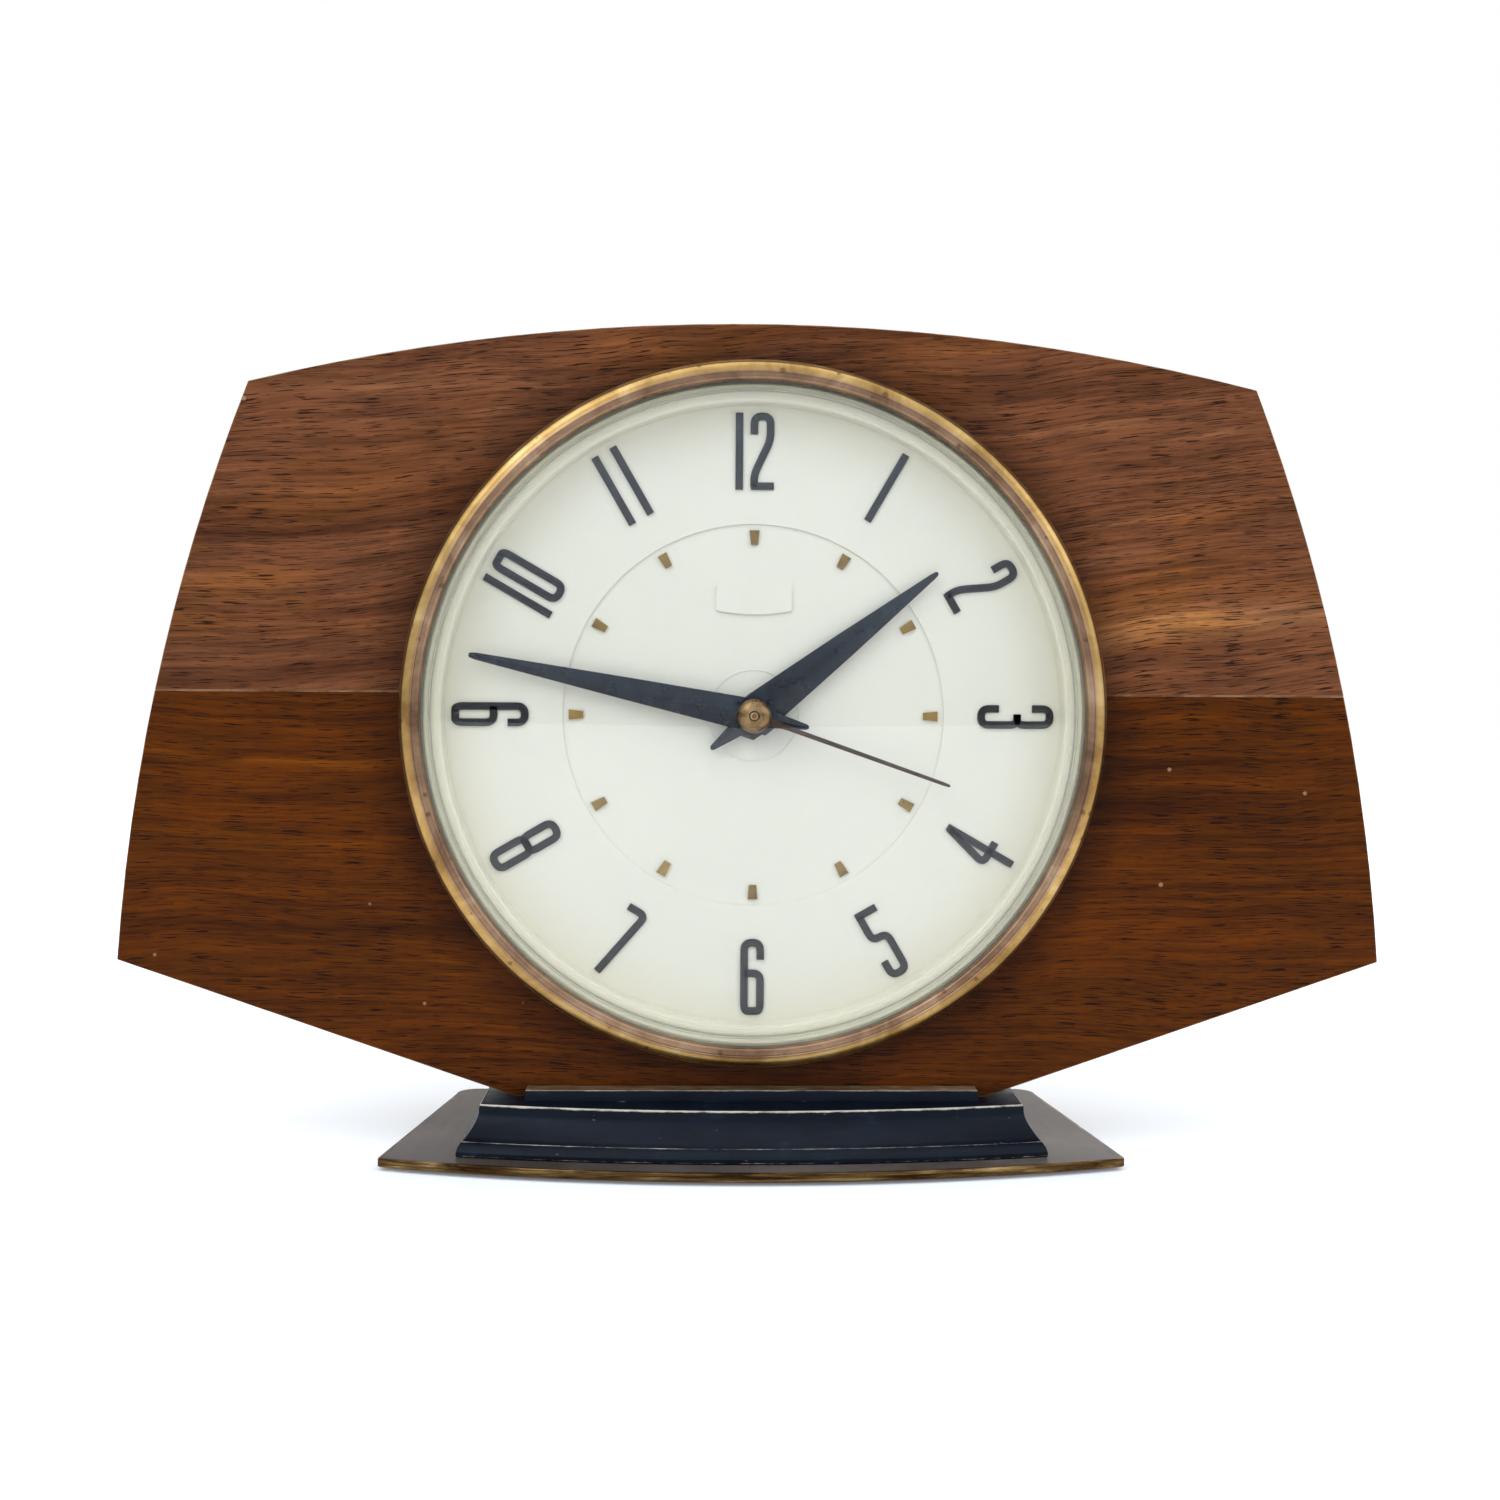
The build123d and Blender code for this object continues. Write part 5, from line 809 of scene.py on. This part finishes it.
def lip(front_y, wear_and_highlight):
    """One raised strip along the panel's foot, its top edges rounded."""
    corners = [
        (-LIP_HALF, front_y), (LIP_HALF, front_y), (LIP_HALF, front_y + LIP_T), (-LIP_HALF, front_y + LIP_T)
    ]
    outline = []
    for start, end in zip(corners, corners[1:] + corners[:1]):
        for step in range(6):
            outline.append(tuple(Vector(start).lerp(Vector(end), step / 6)))
    return stacked(
        "plinth_lip",
        [
            (LEDGE - 0.2, outline, 0.6),
            (LEDGE + 0.25, outline, 0.5),
            (LEDGE + 0.5, inset_outline(outline, 0.05), 0.0),
            (LEDGE + LIP_H - 0.45, inset_outline(outline, 0.10), 0.0),
            (LEDGE + LIP_H - 0.12, inset_outline(outline, 0.22), wear_and_highlight),
            (LEDGE + LIP_H, inset_outline(outline, 0.50), wear_and_highlight),
        ],
    )


plinth = joined([plinth_body, lip(-LIP_T, 1.0), lip(PANEL_BACK_Y / MM, 0.6)], "plinth_moulding")
plinth.data.materials.append(PAINT)
plinth.data.materials.append(GILT)
for face in plinth.data.polygons:
    on_top = face.normal.z > 0.55 and face.center.z > (LEDGE + LIP_H - 0.5) * MM
    if on_top and face.center.y < 0:
        face.material_index = 1
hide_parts("plinth")
dress(plinth, PAINT, "case")

# ---- base plate ----
PLATE_HALF = plate_high[0] / MM
PLATE_HALF_BACK = 72.0
PLATE_CORNER = 5.0
PLATE_ARC_DROP = 12.2
plate_front = bowed(PLATE_HALF, plate_low[1] / MM + PLATE_ARC_DROP, plate_low[1] / MM, 60)
plate_back_y = plate_high[1] / MM
corner_centre = (PLATE_HALF_BACK - PLATE_CORNER + 0.4, plate_back_y - PLATE_CORNER)
right_corner = arc(corner_centre, PLATE_CORNER, -6, 90, 8)
left_corner = [(-x, y) for x, y in reversed(right_corner)]
tip = plate_front[-1]
tip_round = [(tip[0] - 0.9, tip[1] - 0.18), (tip[0] - 0.25, tip[1] + 0.15), (tip[0] - 0.05, tip[1] + 0.9)]
plate_outline = [(-x, y) for x, y in reversed(tip_round)] + plate_front[2:-2] + tip_round
plate_outline += right_corner + left_corner
plate_z = plate_low[2] / MM
plate = stacked(
    "base_plate_sheet",
    [
        (plate_z, inset_outline(plate_outline, 0.35), 1.0),
        (plate_z + 0.25, plate_outline, 1.0),
        (plate_z + 1.65, plate_outline, 1.0),
        (plate_z + 1.92, inset_outline(plate_outline, 0.14), 1.0),
        (plate_z + 2.0, inset_outline(plate_outline, 0.45), 0.8),
        (plate_z + 2.0, inset_outline(plate_outline, 1.1), 0.0),
    ],
)
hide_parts("base_plate")
dress(plate, PLATE, "case")

# ---- bezel ----
OUT = BEZEL_R / MM
CREST = OUT - 2.5
OPENING = OUT - 4.8
PROUD = -bezel_low[1] / MM
bezel_section = [(OUT, 0.0), (OUT, -0.9), (OUT - 0.22, -1.15), (OUT - 0.22, -1.5), (OUT - 0.02, -1.75)]
bezel_section += arc((OUT - 2.6, -PROUD + 3.1), 2.55, 8, -88, 12)
bezel_section += [(CREST - 0.35, -PROUD + 0.42), (CREST - 0.6, -PROUD + 0.55), (CREST - 0.75, -PROUD + 0.42)]
bezel_section += arc((OPENING + 0.75, -PROUD + 1.15), 0.75, -80, -180, 6)
bezel_section += [(OPENING, -3.4), (OPENING + 1.0, -3.4), (OPENING + 1.0, -5.1), (OUT - 2.2, -5.7)]
bezel_section += [(OUT - 1.2, -3.6), (OUT - 1.0, -0.7), (OUT - 3.2, -0.7), (OUT - 3.2, 0.0)]
bezel = turned("bezel_ring", bezel_section, 240)
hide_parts("bezel")
dress(bezel, BEZEL, "case")

# ---- lens ----
lens_low, lens_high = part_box("lens")
LENS_EDGE = lens_high[0] / MM
LENS_BACK = lens_high[1] / MM
CROWN = lens_low[1] / MM
STEP = OPENING - 2.2
LENS_WALL = 1.6
DOME_RISE = 4.6


def dome(radius_at_edge, edge_y, crown_y, count):
    """A flattened dome from its edge to the axis."""
    points = []
    for step in range(count):
        share = step / count
        radius = radius_at_edge * (1 - share)
        points.append((radius, crown_y + (edge_y - crown_y) * (radius / radius_at_edge) ** 2.3))
    points.append((0.0, crown_y))
    return points


lens_section = [(LENS_EDGE, LENS_BACK), (LENS_EDGE, LENS_BACK - 1.4), (OPENING - 0.55, LENS_BACK - 1.4)]
lens_section += [(OPENING - 0.75, LENS_BACK - 1.6), (OPENING - 0.8, LENS_BACK - 2.1)]
lens_section += [(OPENING - 0.95, LENS_BACK - 2.3), (STEP + 0.55, LENS_BACK - 2.4)]
lens_section += [(STEP + 0.3, LENS_BACK - 2.6), (STEP + 0.2, LENS_BACK - 3.2)]
lens_section += dome(STEP, CROWN + DOME_RISE, CROWN, 16)
lens_section += list(reversed(dome(STEP - LENS_WALL, CROWN + DOME_RISE + 1.3, CROWN + LENS_WALL, 16)))
lens_section += [(STEP - LENS_WALL + 0.2, LENS_BACK)]
lens = turned("lens_dome", lens_section, 192)
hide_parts("lens")
dress(lens, LENS, "case")

# ---- dial details ----
dial = softened("dial", 0.14 * MM, 2, 30)
dress(dial, IVORY, "case")
DIAL_FACE = dial_high[1] / MM - 2.0
STEP_FACE = DIAL_FACE + 0.4
TOP = 7.7
LOW = -TOP
RIGHT = 1.8
LEFT = -RIGHT
DIGITS = {
    "0": [[(0, TOP), (RIGHT, TOP), (RIGHT, LOW), (LEFT, LOW), (LEFT, TOP), (0, TOP)]],
    "1": [[(0, TOP + 0.8), (0, LOW - 0.8)]],
    "2": [
        [
            (LEFT, TOP - 4.0), (LEFT, TOP), (RIGHT, TOP),
            (RIGHT, TOP - 5.2), (LEFT, LOW + 2.6), (LEFT, LOW - 0.3),
        ],
        [(LEFT - 0.7, LOW), (RIGHT + 0.8, LOW)],
    ],
    "3": [
        [(LEFT, TOP - 4.0), (LEFT, TOP), (RIGHT, TOP), (RIGHT, 0.4), (-0.6, 0.4)],
        [(-0.6, 0.4), (RIGHT, 0.4), (RIGHT, LOW), (LEFT, LOW), (LEFT, LOW + 4.0)],
    ],
    "4": [
        [(0.4, LOW - 0.8), (0.4, TOP + 0.8)],
        [(0.25, TOP + 0.2), (LEFT - 0.8, -2.6), (RIGHT + 1.0, -2.6)],
    ],
    "5": [
        [(RIGHT + 0.8, TOP), (LEFT - 0.85, TOP)],
        [(LEFT, TOP), (LEFT, 1.4), (RIGHT, 1.4), (RIGHT, LOW), (LEFT, LOW), (LEFT, LOW + 3.8)],
    ],
    "6": [
        [(RIGHT, TOP - 3.8), (RIGHT, TOP), (LEFT, TOP), (LEFT, LOW), (0, LOW)],
        [(0, LOW), (RIGHT, LOW), (RIGHT, 0.8), (LEFT, 0.8)],
    ],
    "7": [[(LEFT - 0.8, TOP), (RIGHT, TOP), (LEFT + 0.4, LOW - 0.8)]],
    "8": [
        [(0, 0.4), (RIGHT, 0.4), (RIGHT, TOP), (LEFT, TOP), (LEFT, 0.4), (0, 0.4)],
        [(0, 0.4), (RIGHT, 0.4), (RIGHT, LOW), (LEFT, LOW), (LEFT, 0.4), (0, 0.4)],
    ],
    "9": [
        [(LEFT, LOW + 3.8), (LEFT, LOW), (RIGHT, LOW), (RIGHT, TOP), (0, TOP)],
        [(0, TOP), (LEFT, TOP), (LEFT, -0.8), (RIGHT, -0.8)],
    ],
}
TOPS_OUT = (9, 10, 11, 12, 1, 2, 3)
FIRST_SHIFT = {"10": -3.5, "11": -2.3, "12": -3.5}
SECOND_SHIFT = {"10": 1.6, "11": 2.3, "12": 1.6}
STROKE_HALF = 0.85
RAISED = 0.5
BEND = 1.75
BEND_STEPS = 6


def rounded_run(points):
    """A run of points whose corners become smooth bends."""
    run = [Vector(points[0])]
    for before, corner, after in zip(points, points[1:], points[2:]):
        corner = Vector(corner)
        ends = []
        for other in (Vector(before), Vector(after)):
            gap = (other - corner).length
            ends.append(corner.lerp(other, min(BEND, 0.48 * gap) / gap))
        sharp = (Vector(before) - corner).angle(Vector(after) - corner) < math.radians(60)
        if sharp:
            run.append(corner)
            continue
        for step in range(BEND_STEPS + 1):
            share = step / BEND_STEPS
            run.append(ends[0].lerp(corner, share).lerp(corner.lerp(ends[1], share), share))
    run.append(Vector(points[-1]))
    return run


def stroke(points, shift, place):
    """A raised ribbon along a run of points."""
    run = rounded_run(points)
    last = len(run) - 1
    bpy.ops.object.select_all(action="DESELECT")
    bpy.ops.mesh.primitive_grid_add(x_subdivisions=last, y_subdivisions=1, size=2)
    ribbon = bpy.context.object
    for index, vertex in enumerate(ribbon.data.vertices):
        step = index % len(run)
        arriving = (run[max(step, 1)] - run[max(step, 1) - 1]).normalized()
        leaving = (run[min(step, last - 1) + 1] - run[min(step, last - 1)]).normalized()
        across = Vector((-arriving.y - leaving.y, arriving.x + leaving.x)).normalized()
        reach = STROKE_HALF / max(0.45, across.dot(Vector((-leaving.y, leaving.x))))
        spot = run[step] + across * (reach if index >= len(run) else -reach)
        vertex.co = ((spot.x + shift) * MM, -RAISED * MM, spot.y * MM)
    into_edit(ribbon)
    bpy.ops.mesh.normals_make_consistent(inside=False)
    out_of_edit()
    if ribbon.data.polygons[0].normal.y > 0:
        ribbon.data.flip_normals()
    wall = ribbon.modifiers.new("wall", "SOLIDIFY")
    wall.thickness = (RAISED + 0.02) * MM
    wall.offset = -1
    apply_modifiers(ribbon)
    rounded(ribbon, 0.13 * MM, 2, 50)
    ribbon.data.transform(place)
    return ribbon


numeral_mid = (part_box("dial_numerals")[1][2] - DIAL_Z) / MM - TOP - STROKE_HALF
strokes = []
for hour in range(1, 13):
    turn = 30 * hour if hour in TOPS_OUT else 30 * hour + 180
    reach = numeral_mid if hour in TOPS_OUT else -numeral_mid
    place = (
        Matrix.Translation((0, DIAL_FACE * MM, DIAL_Z))
        @ Matrix.Rotation(math.radians(turn), 4, "Y")
        @ Matrix.Translation((0, 0, reach * MM))
    )
    text = str(hour)
    digits = [(text, 0)]
    if len(text) == 2:
        digits = [("1", FIRST_SHIFT[text]), (text[1], SECOND_SHIFT[text])]
    for digit, shift in digits:
        for points in DIGITS[digit]:
            strokes.append(stroke(points, shift, place))
numerals = joined(strokes, "raised_numerals")
smooth(numerals, 35)
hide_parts("dial_numerals")
dress(numerals, BLACK, "case")

centre_ring = turned(
    "dial_centre_ring",
    [(10.0, STEP_FACE + 0.05), (10.0, STEP_FACE - 0.08), (10.12, STEP_FACE - 0.14), (10.28, STEP_FACE - 0.14),
     (10.4, STEP_FACE - 0.08), (10.4, STEP_FACE + 0.05)],
    128,
)
dress(centre_ring, IVORY, "case")

# ---- hands ----
MINUTE_ANGLE = 281.8
HOUR_ANGLE = 51.9
SECONDS_ANGLE = 109.4
minute_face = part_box("minute_hand")[0][1] / MM
hour_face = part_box("hour_hand")[0][1] / MM
seconds_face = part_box("seconds_hand")[0][1] / MM
minute = blade(
    "minute_blade",
    [
        (-12.5, 0.35), (-11.9, 0.65), (-5.0, 1.8), (-3.4, 3.75), (0, 3.8),
        (30, 2.45), (62.9, 0.8), (64.1, 0.6), (64.4, 0.3),
    ],
    minute_face, 0.4, 0.9, MINUTE_ANGLE,
)
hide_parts("minute_hand")
dress(minute, HAND, "minute_body")
hour = blade(
    "hour_blade",
    [
        (-12.1, 0.35), (-11.5, 0.65), (-5.0, 1.8), (-3.4, 4.3), (2.0, 4.5),
        (26, 2.8), (50.4, 0.7), (51.5, 0.5), (51.8, 0.25),
    ],
    hour_face, 0.4, 0.6, HOUR_ANGLE,
)
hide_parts("hour_hand")
dress(hour, HAND, "hour_body")
seconds = blade(
    "seconds_sweep",
    [(0, 0.95), (3.5, 0.75), (8, 0.56), (30, 0.48), (44.6, 0.42), (45.8, 0.34), (46.2, 0.15)],
    seconds_face, 0.25, 0.16, SECONDS_ANGLE,
)
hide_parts("seconds_hand")
dress(seconds, BRONZE, "seconds_body")

cap_low, cap_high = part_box("hand_cap")
CAP_FOOT = cap_high[1] / MM
CAP_TOP = cap_low[1] / MM
CAP_R = cap_high[0] / MM
cap_section = [(CAP_R - 0.25, CAP_FOOT), (CAP_R, CAP_FOOT - 0.12), (CAP_R, CAP_FOOT - 0.35)]
for step in range(1, 9):
    lean = math.radians(90 * step / 10.5)
    cap_depth = CAP_FOOT - 0.35 + (CAP_TOP - CAP_FOOT + 0.45) * math.sin(lean)
    cap_section.append((CAP_R * math.cos(lean) ** 0.9, cap_depth))
cap_section += [(1.15, CAP_TOP + 0.14), (1.08, CAP_TOP + 0.45), (0.92, CAP_TOP + 0.45)]
cap_section += [(0.86, CAP_TOP + 0.05), (0.7, CAP_TOP), (0.45, CAP_TOP), (0.38, CAP_TOP + 0.12)]
cap_section += [(0.0, CAP_TOP + 0.14), (0.0, CAP_FOOT)]
cap = turned("hand_cap_dome", cap_section, 64)
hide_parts("hand_cap")
dress(cap, CAP, "seconds_body")

nut = softened("hand_nut", 0.12 * MM, 2, 40)
dress(nut, HAND, "minute_body")

# ---- back ----
for node, material, width, body, slot in (
    ("rear_cover", COVER, 0.35, "case", "cover_plastic"),
    ("set_knob", KNOB, 0.25, "set_body", "knob_plastic"),
    ("cover_screws", ZINC, 0.12, "case", "steel_screw"),
):
    piece = softened(node, width * MM, 2, 40)
    dress(piece, material, body)

# ---- stage, light and camera ----
FLOOR_HALF = 3.0
bpy.ops.object.select_all(action="DESELECT")
bpy.ops.mesh.primitive_plane_add(size=2 * FLOOR_HALF, location=(0, 0, 0))
floor = bpy.context.object
floor.name = "floor"
pale = Shade("floor_pale", Roughness=0.9, Emission_Color=(1, 1, 1, 1), Emission_Strength=0.12)
drift = pale.noise(pale.mapped((3, 3, 3)), 1.0, 2.0, 0.5)
pale.set(Base_Color=pale.ramp(drift, [(0.3, 0.86), (0.7, 0.90)]))
floor.data.materials.append(pale.material)


def lamp(name, place, target, width, height, power):
    data = bpy.data.lights.new(name, "AREA")
    data.shape = "RECTANGLE"
    data.size = width
    data.size_y = height
    data.energy = power
    thing = bpy.data.objects.new(name, data)
    bpy.context.scene.collection.objects.link(thing)
    thing.location = place
    thing.rotation_euler = (Vector(target) - Vector(place)).to_track_quat("-Z", "Y").to_euler()


middle = (0, 0, DIAL_Z)
lamp("key", (-0.8, -0.9, 1.1), middle, 0.8, 0.8, 4.0)
lamp("fill", (1.1, -0.7, 0.7), middle, 0.8, 0.8, 2.2)
lamp("top", (0, -0.35, 1.4), middle, 1.2, 0.6, 2)
lamp("rear", (0.3, 1.2, 0.8), middle, 1.0, 0.8, 5)

world = bpy.data.worlds.new("studio")
world.use_nodes = True
sky = world.node_tree.nodes
background = sky["Background"]
toward = sky.new("ShaderNodeTexCoord")
parts = sky.new("ShaderNodeSeparateXYZ")
world.node_tree.links.new(toward.outputs["Generated"], parts.inputs[0])
backdrop = sky.new("ShaderNodeMapRange")
backdrop.inputs["From Min"].default_value = -0.15
backdrop.inputs["From Max"].default_value = 0.25
overhead = sky.new("ShaderNodeMapRange")
overhead.inputs["From Min"].default_value = 0.0
overhead.inputs["From Max"].default_value = 0.28
world.node_tree.links.new(parts.outputs["Y"], backdrop.inputs["Value"])
world.node_tree.links.new(parts.outputs["Z"], overhead.inputs["Value"])
room = sky.new("ShaderNodeMix")
room.data_type = "RGBA"
room.inputs[6].default_value = (0.03, 0.035, 0.04, 1)
room.inputs[7].default_value = (1.15, 1.32, 1.55, 1)
behind = sky.new("ShaderNodeMix")
behind.data_type = "RGBA"
behind.inputs[7].default_value = (1, 1, 1, 1)
world.node_tree.links.new(overhead.outputs[0], room.inputs[0])
world.node_tree.links.new(backdrop.outputs[0], behind.inputs[0])
world.node_tree.links.new(room.outputs[2], behind.inputs[6])
world.node_tree.links.new(behind.outputs[2], background.inputs["Color"])
background.inputs["Strength"].default_value = 1.0
bpy.context.scene.world = world
bpy.context.scene.view_settings.view_transform = "Standard"

CAMERA_RIGHT = -0.0103
CAMERA_ABOVE = 0.0081
CAMERA_AWAY = 0.400
PITCH_DOWN = 2.25
TURN_LEFT = -1.36
ROLL = 0.34
camera_data = bpy.data.cameras.new("camera")
camera_data.lens = 43.2
camera_data.sensor_width = 36.0
camera_data.clip_start = 0.01
camera = bpy.data.objects.new("camera", camera_data)
bpy.context.scene.collection.objects.link(camera)
sideways = Matrix.Rotation(math.radians(TURN_LEFT), 4, "Z")
level = Matrix.Rotation(math.radians(90 - PITCH_DOWN), 4, "X")
camera.matrix_world = (
    Matrix.Translation((CAMERA_RIGHT, -CAMERA_AWAY, DIAL_Z + CAMERA_ABOVE))
    @ sideways
    @ level
    @ Matrix.Rotation(math.radians(ROLL), 4, "Z")
)
bpy.context.scene.camera = camera
